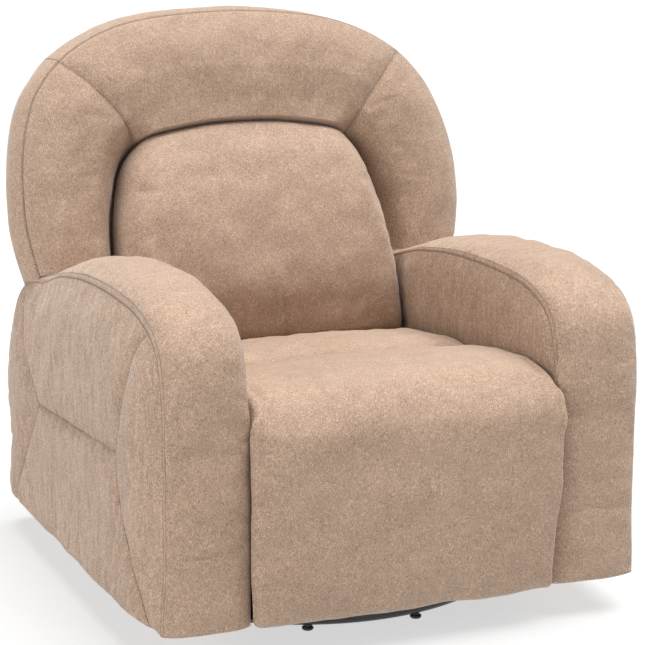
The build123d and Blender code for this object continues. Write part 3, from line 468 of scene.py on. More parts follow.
def inflate(o, pin, pressure=4.0, cap=10.0, frames=20, stiff=14.0, bend=0.6, shrink=0.0, quality=4):
    """Fills the cover with Blender's cloth: seams stay, the fabric between them swells."""
    before = get_co(o)
    g = o.vertex_groups.new(name="pin")
    lev = np.round(np.clip(pin, 0, 1) * 10).astype(int)
    for k in range(1, 11):
        ids = np.nonzero(lev == k)[0]
        if len(ids):
            g.add(ids.tolist(), k / 10.0, "REPLACE")
    mod = o.modifiers.new("cloth", "CLOTH")
    s = mod.settings
    s.quality = quality
    s.mass = 0.3
    s.tension_stiffness = stiff
    s.compression_stiffness = stiff
    s.shear_stiffness = stiff * 0.5
    s.bending_stiffness = bend
    s.tension_damping = s.compression_damping = 8.0
    s.air_damping = 2.0
    s.vertex_group_mass = "pin"
    s.pin_stiffness = 2.0
    s.use_pressure = True
    s.uniform_pressure_force = pressure
    s.shrink_min = shrink
    s.effector_weights.gravity = 0.0
    mod.collision_settings.use_collision = False
    mod.collision_settings.use_self_collision = False
    mod.point_cache.frame_start = 1
    mod.point_cache.frame_end = frames
    for f in range(1, frames + 1):
        scene.frame_set(f)
    dg = bpy.context.evaluated_depsgraph_get()
    ev = o.evaluated_get(dg)
    me = ev.to_mesh()
    after = np.empty(len(me.vertices) * 3, np.float32)
    me.vertices.foreach_get("co", after)
    after = after.reshape(-1, 3).astype(float) * 1000.0
    ev.to_mesh_clear()
    o.modifiers.remove(mod)
    o.vertex_groups.clear()
    scene.frame_set(1)
    d = after - before
    ln = np.linalg.norm(d, axis=1, keepdims=True)
    d *= cap * np.tanh(ln / cap) / np.maximum(ln, 1e-6)
    set_co(o, before + d)


def relax(o, times=1, keep=None, amount=0.5):
    """Evens the surface out a little."""
    me = o.data
    e = np.empty(len(me.edges) * 2, np.int32)
    me.edges.foreach_get("vertices", e)
    e = e.reshape(-1, 2)
    c = get_co(o)
    deg = np.zeros(len(c))
    np.add.at(deg, e[:, 0], 1)
    np.add.at(deg, e[:, 1], 1)
    w = amount * np.ones(len(c)) if keep is None else amount * (1 - np.clip(keep, 0, 1))
    for _ in range(times):
        s = np.zeros_like(c)
        np.add.at(s, e[:, 0], c[e[:, 1]])
        np.add.at(s, e[:, 1], c[e[:, 0]])
        c += w[:, None] * (s / np.maximum(deg, 1)[:, None] - c)
    set_co(o, c)


def tubes(name, paths, radius, mat, sides=6, dash=None):
    """Round threads along paths (lists of points in mm); dash=(on, off) cuts them into stitches."""
    V, F = [], []
    for p in paths:
        p = np.asarray(p, float)
        pieces = [p]
        if dash:
            L = run(p)
            pieces = []
            s = 0.0
            while s + dash[0] < L[-1]:
                pieces.append(at(p, np.linspace(s, s + dash[0], 4)))
                s += dash[0] + dash[1]
        for q in pieces:
            tan = np.gradient(q, axis=0)
            tan /= np.maximum(np.linalg.norm(tan, axis=1, keepdims=True), 1e-9)
            ref = np.array([0.31, 0.77, 0.55])
            a = np.cross(tan, ref)
            a /= np.linalg.norm(a, axis=1, keepdims=True)
            b = np.cross(tan, a)
            n = len(q)
            r = np.full(n, radius)
            if dash:
                r[[0, -1]] *= 0.55
            base = sum(len(x) for x in V)
            ang = np.linspace(0, 2 * math.pi, sides, endpoint=False)
            ringp = (q[:, None] + r[:, None, None] * (np.cos(ang)[None, :, None] * a[:, None]
                                                      + np.sin(ang)[None, :, None] * b[:, None]))
            V.append(ringp.reshape(-1, 3))
            for i in range(n - 1):
                for j in range(sides):
                    k = (j + 1) % sides
                    F.append([base + i * sides + j, base + i * sides + k,
                              base + (i + 1) * sides + k, base + (i + 1) * sides + j])
            F.append([base + j for j in range(sides)][::-1])
            F.append([base + (n - 1) * sides + j for j in range(sides)])
    me = bpy.data.meshes.new(name)
    me.from_pydata((np.vstack(V) * 0.001).tolist(), [], F)
    me.polygons.foreach_set("use_smooth", [True] * len(me.polygons))
    me.materials.append(mat)
    o = bpy.data.objects.new(name, me)
    scene.collection.objects.link(o)
    return o


def cast(o, points, direction, lift=0.2):
    """Points dropped on an object's surface along a direction, in mm."""
    me = o.data
    tree = BVHTree.FromPolygons([v.co for v in me.vertices], [p.vertices for p in me.polygons])
    d = Vector(direction).normalized()
    out = []
    for p in points:
        hit = tree.ray_cast(Vector(p) * 0.001 - d * 0.3, d, 0.9)
        if hit[0] is not None:
            out.append(np.array(hit[0]) * 1000.0 - np.array(d) * lift)
    return np.array(out)


def done(o, body, nodes=()):
    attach(o, body)
    if nodes:
        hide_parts(*nodes)
    return o


H = np.array([250.0, 300.0])
CT, ST = math.cos(math.atan2(0.221, 1.0)), math.sin(math.atan2(0.221, 1.0))


def arc(r, deg):
    return (H[0] + r * math.sin(math.radians(deg)), H[1] + r * math.cos(math.radians(deg)))


def back_xyz(x, v, n):
    return np.stack(np.broadcast_arrays(x, 306 + v * ST - n * CT, 700 + v * CT + n * ST), -1)


def strip_crown(x):
    """Height of the arm strip's crown at x, from 0 at its seams to 1 in the middle."""
    t = np.clip(np.where(x > 0, np.abs(x - 356) / 78, np.abs(x + 349) / 71), 0, 1)
    return np.clip(1 - t ** (2 / 0.8), 0, 1) ** 0.4


def off_arc(P, r0, soft=5.0, ride_arm=False):
    """Keeps points outside a cylinder about the back hinge, or off the arms' crowned tops, with a soft edge."""
    d = P[..., 1:] - H
    r = np.linalg.norm(d, axis=-1)
    if ride_arm:
        inside = smooth((286 - np.abs(P[..., 0])) / 8)
        r0 = (r0 - 20.0 * (1 - strip_crown(P[..., 0]))) * (1 - inside) + (r0 + 6.0) * inside
    k = (r - r0) / soft
    rr = r0 + soft * np.where(k > 30, k, np.log1p(np.exp(np.clip(k, -30, 30))))
    Q = P.copy()
    Q[..., 1:] = H + d * (rr / r)[..., None]
    return Q


# ---------------------------------------------------------------------------
# Arms: two side panels and a crowned strip over the front, top and rear
# ---------------------------------------------------------------------------
SEAM = [(-444, 66), (-446, 150), (-449, 250), (-450, 350), (-448, 450), (-441, 483), (-431, 511), (-413, 534),
        (-386, 550), (-352, 562), (-313, 570), (-255, 575), (-196, 577), (-124, 577), (-42, 574), (43, 565),
        (111, 555), (167, 541), (205, 530), (242, 520), arc(217, 9), arc(216, 20), arc(216, 32), arc(216, 45), arc(216, 58),
        arc(217, 70), (465, 335), (467, 260), (462, 170), (453, 66)]
CROWN = [(-466, 66), (-468, 160), (-470, 260), (-472, 360), (-474, 452), (-471, 490), (-463, 527), (-441, 563),
         (-400, 593), (-360, 605), (-320, 613), (-260, 617), (-200, 618), (-130, 616), (-60, 611), (5, 601),
         (70, 588), (120, 573), (165, 557), (205, 543), arc(236, 1), arc(236, 10), arc(236, 20), arc(236, 30),
         arc(236, 40), arc(236, 50), arc(236, 60), arc(236, 70), arc(236, 78), (484, 331), (484, 260), (484, 170),
         (484, 66)]
SEAM_A = [0, 4, 8, 13, 18, 21, 26, 29]
CROWN_A = [0, 4, 8, 13, 19, 22, 29, 32]
X_IN = 278.0
SIDE_REAR = [(337, 484), (303, 397), (268, 348), (219, 297), (304, 186), (359, 104), (370, 62)]
SIDE_FRONT = [(-384, 549), (-364, 536), (-343, 508), (-320, 464), (-293, 405), (-271, 352), (-264, 326), (-269, 282), (-289, 222),
              (-336, 156), (-378, 112), (-412, 64)]
SIDE_CROSS = [(218, 296), (-262, 326)]

NU, NV = 214, 78
US = np.r_[0, 0.0016, np.linspace(0.0048, 0.9952, NU), 0.9984, 1.0]
VS = np.r_[np.linspace(0, 0.9885, NV), 0.9958, 1.0]


def edge_out(x, y, z):
    """The outer seams spread a little towards the floor and the rear."""
    return x + 6.0 * smooth((190 - z) / 115) + 8.0 * smooth((y - 230) / 170)


def edge_in(y, z):
    """The inner front seams lean to the footrest below the seat."""
    return X_IN - 4.5 * smooth((450 - z) / 60) * smooth((-y - 400) / 40)


def make_arm(name, sx, seed, rise, X_OUT, swell):
    seam, si = spline(SEAM)
    crown, ci = spline(CROWN)
    ls, lc = run(seam), run(crown)
    marks_s, marks_c = ls[si[SEAM_A]], lc[ci[CROWN_A]]
    s_front = ls[si[4]] * VS
    s_top = ls[si[4]] + (ls[si[26]] - ls[si[4]]) * US
    s_rear = ls[si[26]] + (ls[-1] - ls[si[26]]) * (1 - VS[::-1])
    s_all = np.r_[s_front[:-1], s_top, s_rear[1:]]
    A = at(seam, s_all)
    D = at(crown, np.interp(s_all, marks_s, marks_c)) - A
    D[:, 1] *= 1 - (1 - rise) * smooth((A[:, 1] - 500) / 50) * smooth((200 - A[:, 0]) / 60)

    # the strip's section, with a flat welt between two stitched lines on each side
    ph = np.linspace(0, math.pi, 400)
    e = 0.80
    sec = np.stack([(X_OUT + X_IN) / 2 + (X_OUT - X_IN) / 2 * np.sign(np.cos(ph)) * np.abs(np.cos(ph)) ** e, np.sin(ph) ** e], 1)
    ln = run(sec * np.array([1.0, 34.0]))
    half = ln[-1] / 2
    edge = [0, 1.2, 2.4, 4.2, 6.2, 8.2, 9.4, 10.6, 11.8, 13.6, 17, 21, 26]
    ds = np.r_[edge, np.linspace(31, half, 9)]
    ds = np.r_[ds, ln[-1] - ds[-2::-1]]
    tx, tc = np.interp(ds, ln, sec[:, 0]), np.interp(ds, ln, sec[:, 1])
    tx[0], tx[-1], tc[0], tc[-1] = X_OUT, X_IN, 0.0, 0.0
    dd = np.minimum(ds, ln[-1] - ds)
    off = np.interp(dd, [0, 1.2, 2.4, 4.2, 6.2, 8.2, 9.4, 10.6, 11.8, 13.6], [-0.8, -0.3, 0.15, 0.3, 0.3, 0.15, -0.1, -0.5, -0.15, 0])
    # painted shade: darker colour at the strip's seam edges and stitch lines, dark seam lines plus painted shade in
    # these creases
    dark = np.interp(dd, [0, 1.2, 2.4, 9.4, 10.6, 11.8], [0.7, 0.25, 0, 0.05, 0.4, 0])
    eo, ei = edge_out(X_OUT, A[:, 0], A[:, 1])[:, None], edge_in(A[:, 0], A[:, 1])[:, None]
    S = np.stack([ei + (eo - ei) * (tx - X_IN) / (X_OUT - X_IN),
                  A[:, None, 0] + D[:, None, 0] * tc, A[:, None, 1] + D[:, None, 1] * tc], -1)
    sh = Shell()
    rear = smooth((A[:, 0] - 120) / 60)[:, None]
    strip = sh.grid(S, off=off[None], seam=dark[None], pin=np.maximum((dd < 12)[None] * 1.0, rear),
                    soft=np.clip(dd / 30, 0, 1)[None] * (1 - 0.8 * rear))

    top = at(seam, s_top)
    left, right = at(seam, s_front), at(seam, s_rear[::-1])
    bot = np.stack([np.linspace(0, 1, len(US)) * 0, np.full(len(US), 66.0)], 1)
    bot[:, 0] = left[0, 0] + (right[0, 0] - left[0, 0]) * US
    Q = coons(bot, top, left, right, US, VS)
    edge_line = np.vstack([resample(seam, 160)])
    d = to_lines(Q, edge_line)
    d[0, :] = d[-1, :] = d[:, -1] = 0.0
    ds_ = to_lines(Q, SIDE_REAR, SIDE_FRONT, SIDE_CROSS)
    dc_ = to_lines(Q, SIDE_CROSS)
    open_edge = 1 - np.exp(-d / 16)
    puff = swell * (1 - np.exp(-d / 58))
    tuck = np.where(Q[..., 1] < 82, 11 * (1 - np.sqrt(np.clip(1 - ((82 - Q[..., 1]) / 16.2) ** 2, 0, 1))), 0) * open_edge
    groove = (4.4 * np.exp(-(ds_ / 13) ** 2) + 1.5 * np.exp(-(ds_ / 4.5) ** 2)) * open_edge
    pucker = 0.9 * np.sin(Q[..., 0] / 5.2 + 2.2 * np.sin(Q[..., 0] / 31)) * np.exp(-(dc_ / 13) ** 2) * open_edge
    xo = edge_out(X_OUT, Q[..., 0], Q[..., 1]) + puff - tuck - groove + pucker
    outer = np.concatenate([xo[..., None], Q], -1)
    pin_o = np.maximum(np.exp(-(ds_ / 4.5) ** 2), (d < 2) * 1.0)
    pin_o = np.maximum(pin_o, (Q[..., 1] < 76) * 1.0)
    # painted shade: the outer panel darkens along its seam grooves and edges, dark seam lines plus painted shade in
    # the creases
    gi = sh.grid(outer, seam=np.maximum(0.55 * np.exp(-(ds_ / 3.2) ** 2) * open_edge, (d < 0.01) * 1.0),
                 pin=pin_o, soft=np.clip(d / 30, 0, 1) * np.clip(ds_ / 22, 0.25, 1))

    xi = edge_in(Q[..., 0], Q[..., 1]) - 5.5 * (1 - np.exp(-d / 45)) * smooth((Q[..., 1] - 395) / 60) * smooth((250 - Q[..., 0]) / 90)
    inner = np.concatenate([xi[..., None], Q], -1)
    # painted shade: a dark line plus painted crease shade along the inner panel's edge
    sh.grid(inner, seam=(d < 0.01) * 1.0, pin=np.maximum((d < 2) * 1.0, (Q[..., 1] < 400) * 1.0),
            soft=np.clip(d / 30, 0, 1) * 0.7 * smooth((Q[..., 1] - 380) / 40))

    # underside
    tau = (X_OUT - tx) / (X_OUT - X_IN)
    B = np.stack([xo[:, :1] + (xi[:, :1] - xo[:, :1]) * tau,
                  np.broadcast_to(Q[:, :1, 0], (len(US), len(tau))),
                  np.full((len(US), len(tau)), 66.0)], -1)
    sh.grid(B, pin=1.0, soft=0.0)
    for k, row in ((0, S[0]), (-1, S[-1])):
        base = B[0 if k == 0 else -1]
        w = np.linspace(0, 1, 5)[:, None, None]
        sh.grid(base[None] * (1 - w) + row[None] * w, pin=1.0, soft=0.0)

    o = sh.object(name, VELVET)
    c = get_co(o)
    if sx < 0:
        c[:, 0] *= -1
        set_co(o, c)
        bm = bmesh.new()
        bm.from_mesh(o.data)
        bmesh.ops.reverse_faces(bm, faces=bm.faces)
        bm.to_mesh(o.data)
        bm.free()
    inflate(o, sh.out["pin"], pressure=3.0, cap=4.0, frames=8, stiff=20, bend=1.0, shrink=-0.012, quality=3)
    c = get_co(o)
    nrm = get_no(o)
    soft = sh.out["soft"]
    w = 1.0 * ripple(c, seed, 70, 160) + 0.35 * ripple(c, seed + 1, 24, 50)
    set_co(o, c + nrm * (sh.out["off"] + soft * w)[:, None])
    if sx < 0:
        # the cover lies flat where the release pull runs over it
        c = get_co(o)
        lie = smooth((40 - np.abs(c[:, 1] + 108)) / 16) * smooth((545 - c[:, 2]) / 22) * (c[:, 0] > -300)
        c[:, 0] += lie * (np.minimum(c[:, 0], -278.8) - c[:, 0])
        set_co(o, c)
    # the outer panel carries the streaky cut of the pile
    o.data.materials.append(VELVET_SIDE)
    no = np.empty(len(o.data.polygons) * 3, np.float32)
    o.data.polygons.foreach_get("normal", no)
    ce = np.empty(len(o.data.polygons) * 3, np.float32)
    o.data.polygons.foreach_get("center", ce)
    no, ce = no.reshape(-1, 3), ce.reshape(-1, 3)
    side = (np.abs(ce[:, 0]) > X_OUT * 0.001 - 0.004) & (np.abs(no[:, 0]) > 0.6)
    inside = (np.abs(ce[:, 0]) < X_IN * 0.001 + 0.003) & (np.abs(no[:, 0]) > 0.6)
    o.data.polygons.foreach_set("material_index", (side | inside).astype(np.int32))

    final = get_co(o)
    wel = [sh.index[strip[:, j]] for j in (7, len(ds) - 8)]
    stitch = tubes(name.replace("arm_cover", "arm_stitching"), [final[i] + get_no(o)[i] * 0.35 for i in wel], 0.5, THREAD,
                   dash=(4.0, 1.6))
    lines = []
    for ln_ in (SIDE_REAR, SIDE_FRONT, SIDE_CROSS):
        sm = resample(spline(ln_)[0] if len(ln_) > 2 else np.asarray(ln_, float), 120)
        pts = [(sx * 430.0, y, z) for y, z in sm if z > 69]
        hit = cast(o, pts, (-sx, 0, 0), 0.15)
        lines.append(hit)
    edges = [final[sh.index[strip[:, j]]] + get_no(o)[sh.index[strip[:, j]]] * 0.1 for j in (0, len(ds) - 1)]
    seams = tubes(name.replace("arm_cover", "arm_seams"), lines + edges, 0.6, THREAD)
    return o, stitch, seams


for side, sx, seed, rise, x_out, swell in (("left", 1, 11, 0.76, 434.0, 14.0), ("right", -1, 23, 1.0, 420.0, 25.0)):
    o, stitch, seams = make_arm("arm_cover_" + side, sx, seed, rise, x_out, swell)
    done(o, "chair", ["arm_pad_" + side])
    done(stitch, "chair")
    done(seams, "chair")


# ---------------------------------------------------------------------------
# Back: padded rim with its gusset, rear cover, apron and the inner cushion
# ---------------------------------------------------------------------------
def bv(z):
    return (z - 700) / CT


RIM_O = [(411, -235), (414, -200), (418, bv(547)), (425, bv(586)), (430, bv(619)), (431, bv(671)), (429, bv(726)),
         (424, bv(771)), (414, bv(816)), (397, bv(858)), (376, bv(886)), (345, bv(914)), (317, bv(932)),
         (283, bv(950)), (231, bv(970)), (168, bv(984)), (112, bv(991)), (39, bv(996)), (0, bv(997))]
RIM_I = [(271, -235), (271, -200), (271, bv(547)), (269, bv(600)), (266, bv(630)), (257, bv(669)), (249, bv(700)),
         (232, bv(735)), (215, bv(756)), (190, bv(772)), (164, bv(778)), (132, bv(783)), (65, bv(791)), (0, bv(793))]
RIM_MO, RIM_MI = [0, 2, 5, 11, 18], [0, 2, 5, 8, 13]
RIM_DIAG = [(346, 220), (312, 187.5), (279, 151), (250, 116), (234, 89), (223, 70), (215, 56)]


def mirror_path(p):
    p = [tuple(q) for q in p]
    return p + [(-x, y) for x, y in p[-2::-1]]


def make_rim(name):
    O, oi = spline(mirror_path(RIM_O))
    O[:, 0] += np.where(O[:, 0] > 0, 23.0, -6.0) * smooth((bv(905) - O[:, 1]) / 240) * smooth((O[:, 1] - bv(500)) / 60)
    O[:, 1] += (5.0 + 3.0 * smooth(-O[:, 0] / 250)) * smooth((O[:, 1] - bv(860)) / 90)
    I, ii = spline(mirror_path(RIM_I))
    no, ni = len(RIM_O) - 1, len(RIM_I) - 1
    mo = oi[RIM_MO + [2 * no - k for k in RIM_MO[-2::-1]]]
    mi = ii[RIM_MI + [2 * ni - k for k in RIM_MI[-2::-1]]]
    lo, li = run(O), run(I)
    s = np.linspace(0, lo[-1], 372)
    PO = at(O, s)
    PI = at(I, np.interp(s, lo[mo], li[mi]))
    tan = np.gradient(PO, axis=0)
    tan /= np.linalg.norm(tan, axis=1, keepdims=True)
    out = np.stack([tan[:, 1], -tan[:, 0]], 1)          # outward in the plane of the back
    W = np.linalg.norm(PI - PO, axis=1)

    r = np.r_[0, 0.007, 0.014, 0.024, 0.038, 0.056, 0.078, 0.105, np.linspace(0.135, 0.80, 19), 0.83, 0.86, 0.885,
              0.91, 0.93, 0.95, 0.97, 0.985, 1.0]
    prof, _ = spline([(0, 0), (0.03, 8.5), (0.09, 19), (0.2, 31), (0.35, 40), (0.5, 44), (0.63, 44.5), (0.75, 40.5),
                      (0.84, 30.5), (0.91, 14), (0.96, -6), (1.0, -34)])
    nr = np.interp(r, prof[:, 0], prof[:, 1])
    easy, _ = spline([(0, 0), (0.03, 8), (0.09, 17.5), (0.2, 29), (0.35, 38), (0.5, 43), (0.65, 45.5), (0.78, 45.5),
                      (0.88, 44), (0.95, 40), (1.0, 29)])
    ne = np.interp(r, easy[:, 0], easy[:, 1])
    g = np.r_[r, 1.06, 1.16, 1.17, 1.10, 0.8, 0.5, 0.2, 0.05]
    n = np.r_[nr, -42, -46, -62, -82, -92, -95, -96, -97]
    front = len(r)
    gus = np.array([0, 1.6, 3.5, 7, 12, 19, 27, 36, 46, 56, 66, 75, 83, 89, 93.5, 96.5])
    n = np.r_[n, -98, -98 + gus[1:]]
    g = np.r_[g, np.zeros(len(gus))]
    bul = np.r_[np.zeros(len(g) - len(gus)), 13.0 * np.sin(np.pi * np.clip(gus / 98, 0, 1)) ** 0.8 + 5.0 * (1 - gus / 98)]
    swell = np.where(PO[:, 0] > 0, 1 - 0.65 * smooth(PO[:, 0] / 350), 1.0)[:, None, None]
    XY = PO[:, None] + (PI - PO)[:, None] * g[None, :, None] + out[:, None] * bul[None, :, None] * swell
    mix = smooth((240 - np.abs(PI[:, 0])) / 60)[:, None]
    N = np.broadcast_to(n, XY.shape[:2]).copy()
    N[:, :front] = nr * (1 - mix) + ne * mix
    P = back_xyz(XY[..., 0], XY[..., 1], N)
    dist = np.r_[r * 185.0, np.full(len(g) - front, 999.0)]
    off = np.interp(dist, [0, 1.3, 2.6, 4.4, 7], [-2.2, -0.8, 0.2, 0.3, 0])
    jg = len(g) - len(gus)
    off[jg] = -2.0
    # painted shade: darker colour at the rim's outer seam, the gusset joins and the diagonal grooves, dark seam lines
    # plus painted shade in these creases
    dark = np.interp(dist, [0, 1.3, 2.6], [1.0, 0.4, 0])
    dark[jg] = 1.0
    dark[jg + 1] = 0.3
    dark[-1] = 0.3
    diag = [np.asarray(RIM_DIAG, float), np.asarray(RIM_DIAG, float) * [-1, 1]]
    dsm = to_lines(XY, *[spline(q)[0] for q in diag])
    face = np.zeros(len(g))
    face[:front] = np.clip(np.minimum(r / 0.03, (1 - r) / 0.06), 0, 1)
    gr = (4.2 * np.exp(-(dsm / 13) ** 2) + 1.4 * np.exp(-(dsm / 4.5) ** 2)) * face
    soft = np.zeros(len(g))
    soft[:front] = np.clip(r / 0.2, 0, 1) * np.clip((1 - r) / 0.15, 0, 1)
    soft[jg:] = 0.5 * np.sin(np.pi * np.clip(gus / 98, 0, 1))
    P = off_arc(P, 238.7, 2.0, True)
    sh = Shell()
    idx = sh.grid(P, wrap_v=True, off=off[None] - gr, seam=np.maximum(dark[None], 0.5 * np.exp(-(dsm / 3.2) ** 2) * face),
                  soft=soft[None] * np.clip(dsm / 22, 0.3, 1))
    for k in (0, -1):
        loop = P[k]
        mid = loop.mean(0)
        w = np.linspace(0, 1, 7)[:, None, None]
        cap = loop[None] * (1 - w) + mid * w
        sh.grid(off_arc(cap, 238.7, 1.0, True) * (w > 0) + loop[None] * (w <= 0), wrap_v=True, soft=0.0, pin=1.0)
    o = sh.object(name, VELVET)
    pin = np.ones(len(get_co(o)))
    co = get_co(o)
    fr = np.zeros(len(g))
    fr[:front] = smooth(np.minimum(r / 0.12, (0.9 - r) / 0.15))
    free = np.broadcast_to(fr[None], P.shape[:2]) * np.clip(dsm / 20, 0, 1)
    tmp = np.zeros(len(pin))
    np.maximum.at(tmp, sh.index[idx].ravel(), free.ravel())
    pin = 1 - tmp
    inflate(o, pin, pressure=2.5, cap=4.0, frames=10, stiff=20, bend=1.0, shrink=-0.01)
    co, nrm = get_co(o), get_no(o)
    w = 1.5 * ripple(co, 41, 90, 200) + 0.5 * ripple(co, 42, 30, 60)
    co = co + nrm * (sh.out["off"] + sh.out["soft"] * w)[:, None]
    set_co(o, co)
    # seams: the outer and rear edges, the two diagonals and the gusset's own joins
    fin, fno = get_co(o), get_no(o)
    keep = slice(22, -22)
    lines = [fin[sh.index[idx[keep, 0]]] + fno[sh.index[idx[keep, 0]]] * 0.1,
             fin[sh.index[idx[keep, jg]]] + fno[sh.index[idx[keep, jg]]] * 0.1]
    for q in diag:
        pts = back_xyz(*resample(spline(q)[0], 90).T, 120.0)
        lines.append(cast(o, pts, (0, CT, -ST), 0.15))
    for x0 in (1, -1):
        k = int(np.argmin(np.hypot(PO[:, 0] - x0 * 345, PO[:, 1] - 219)))
        row = sh.index[np.r_[idx[k, jg:], idx[k, 0]]]
        lines.append(fin[row] + fno[row] * 0.15)
    seams = tubes("back_seams", lines, 0.6, THREAD)
    return o, seams, PO


rim, rim_seams, RIM_ST = make_rim("back_rim_cover")
done(rim, "backrest", ["back_rim_pad"])
done(rim_seams, "backrest")


def make_rear_cover(name):
    k0 = int(np.argmin(np.abs(RIM_ST[:180, 1] + 196)))
    k1 = int(np.argmin(np.hypot(RIM_ST[:180, 0] - 392, RIM_ST[:180, 1] - bv(866))))
    m = len(RIM_ST) - 1
    right = RIM_ST[k0:k1 + 1]
    left = RIM_ST[m - k1:m - k0 + 1][::-1]
    top = RIM_ST[k1:m - k1 + 1]
    us, vs = np.linspace(0, 1, len(top)), np.linspace(0, 1, len(right))
    bot = right[0] + (left[0] - right[0]) * us[:, None]
    Q = coons(bot, top, right, left, us, vs)
    d = to_lines(Q, RIM_ST[k0:m - k0 + 1])
    d[0] = d[-1] = 0
    d[:, -1] = 0
    n = -97.5 - 33 * (1 - np.exp(-d / 48))
    P = off_arc(back_xyz(Q[..., 0], Q[..., 1], n), 246.0, 4.0)
    inner = off_arc(back_xyz(Q[..., 0] * 0.985, Q[..., 1] * np.where(Q[..., 1] > 0, 0.985, 1), np.full(n.shape, -99.0)), 245.0, 1.0)
    sh = Shell()
    # painted shade: a dark line plus painted crease shade along the rear cover's edge
    idx = sh.grid(P, seam=(d < 0.01) * 1.0, soft=np.clip(d / 40, 0, 1), pin=(d < 6) * 1.0)
    sh.grid(inner, pin=1.0, soft=0.0)
    for a, b in ((P[0], inner[0]), (P[-1], inner[-1]), (P[:, 0], inner[:, 0]), (P[:, -1], inner[:, -1])):
        sh.grid(np.stack([a, b]), pin=1.0, soft=0.0)
    o = sh.object(name, VELVET)
    co = get_co(o)
    low = smooth((np.linalg.norm(co[:, 1:] - H, axis=1) - 250) / 30)
    inflate(o, np.maximum(sh.out["pin"], 1 - low), pressure=2.0, cap=4.0, frames=9, stiff=20, bend=1.0, shrink=-0.008)
    co, nrm = get_co(o), get_no(o)
    w = 1.8 * ripple(co, 51, 110, 240) + 0.5 * ripple(co, 52, 36, 80)
    set_co(o, co + nrm * (sh.out["soft"] * w)[:, None] * low[:, None])
    return o


done(make_rear_cover("back_rear_upholstery"), "backrest", ["back_rear_cover"])


def make_pad(name, outer, inner, width, R, crown=0.0, n=120, step=6.0, bulge=3.0, fit=None):
    """A pad between an outer and an inner profile (y, z), swept across with rounded sides."""
    Po, Pi = resample(spline(outer)[0], n), resample(spline(inner)[0], n)
    loop = np.vstack([Po, Pi[::-1]])
    tan = np.roll(loop, -1, 0) - np.roll(loop, 1, 0)
    for _ in range(2):
        tan = (np.roll(tan, 1, 0) + 2 * tan + np.roll(tan, -1, 0)) / 4
    tan /= np.maximum(np.linalg.norm(tan, axis=1, keepdims=True), 1e-9)
    area = np.sum(loop[:, 0] * np.roll(loop[:, 1], -1) - np.roll(loop[:, 0], -1) * loop[:, 1])
    nor = np.stack([tan[:, 1], -tan[:, 0]], 1) * (1 if area > 0 else -1)     # outward
    w = np.broadcast_to(np.asarray(width(loop[:, 0], loop[:, 1]), float), (2 * n,))
    wm = float(w.max())
    m = int(round((wm - R) / step))
    xi = [(i / m, 0.0, 0.0) for i in range(m + 1)]
    xi += [(1.0, math.sin(a), 1 - math.cos(a)) for a in np.linspace(0, math.pi / 2, 7)[1:]]
    rows = [(-a, -b, c) for a, b, c in xi[:0:-1]] + xi
    cr = np.zeros(2 * n)
    cr[:n] = crown(Po[:, 0], Po[:, 1]) if callable(crown) else crown
    G = np.empty((len(rows), 2 * n, 3))
    for i, (a, b, c) in enumerate(rows):
        x = a * (w - R) + b * R
        k = cr * (1 - (np.abs(x) / w) ** 2.2) - c * R
        G[i, :, 0] = x
        G[i, :, 1:] = loop + nor * k[:, None]
    sh = Shell()
    idx = sh.grid(G, wrap_v=True)
    t = np.linspace(0, 1, 7)
    for k, sgn in ((0, -1), (-1, 1)):
        a, b = G[k, :n], G[k, n:][::-1]
        C = a[:, None] * (1 - t)[None, :, None] + b[:, None] * t[None, :, None]
        C[..., 0] += sgn * bulge * np.sin(np.pi * t)[None] * np.sin(np.pi * np.linspace(0, 1, n))[:, None] ** 0.3
        sh.grid(C, soft=0.3, pin=1.0)
    return sh, idx, loop, nor


def chaise_width(y, z):
    wf = np.interp(z, [60, 100, 200, 300, 380, 420, 450, 480], [263, 266, 273, 278, 283, 284, 281, 276])
    wave = 1.6 * np.sin(z / 23.0) * np.sin(z / 61.0 + 0.8)
    return 271.0 + (wf + wave - 271.0) * smooth((-y - 470) / 18)


def chaise_crown(y, z):
    c = np.interp(z, [60, 100, 300, 400, 450], [3.0, 6.0, 9.0, 11.0, 12.0])
    return c * np.where(y > -260, np.interp(y, [-260, -200, -172], [1.0, 0.7, 0.4]), 1.0)


CHAISE_OUT = [(-184, 384), (-176, 399), (-176, 413), (-185, 424), (-207, 432.5), (-243, 440), (-319, 447), (-370, 448),
              (-417, 444.5), (-446, 438.5), (-465.5, 430), (-479, 417.5), (-487, 401), (-491, 381), (-492.5, 350),
              (-493, 300), (-492, 230), (-489, 160), (-484, 105), (-478, 80), (-470, 67)]
CHAISE_IN = [(-188, 374), (-215, 372), (-260, 374), (-300, 378), (-340, 383), (-375, 390), (-402, 398), (-422, 401),
             (-436, 397), (-444, 385), (-447, 365), (-447, 330), (-447, 290), (-447, 240), (-447, 180), (-449, 130),
             (-452, 100), (-457, 78), (-464, 68)]


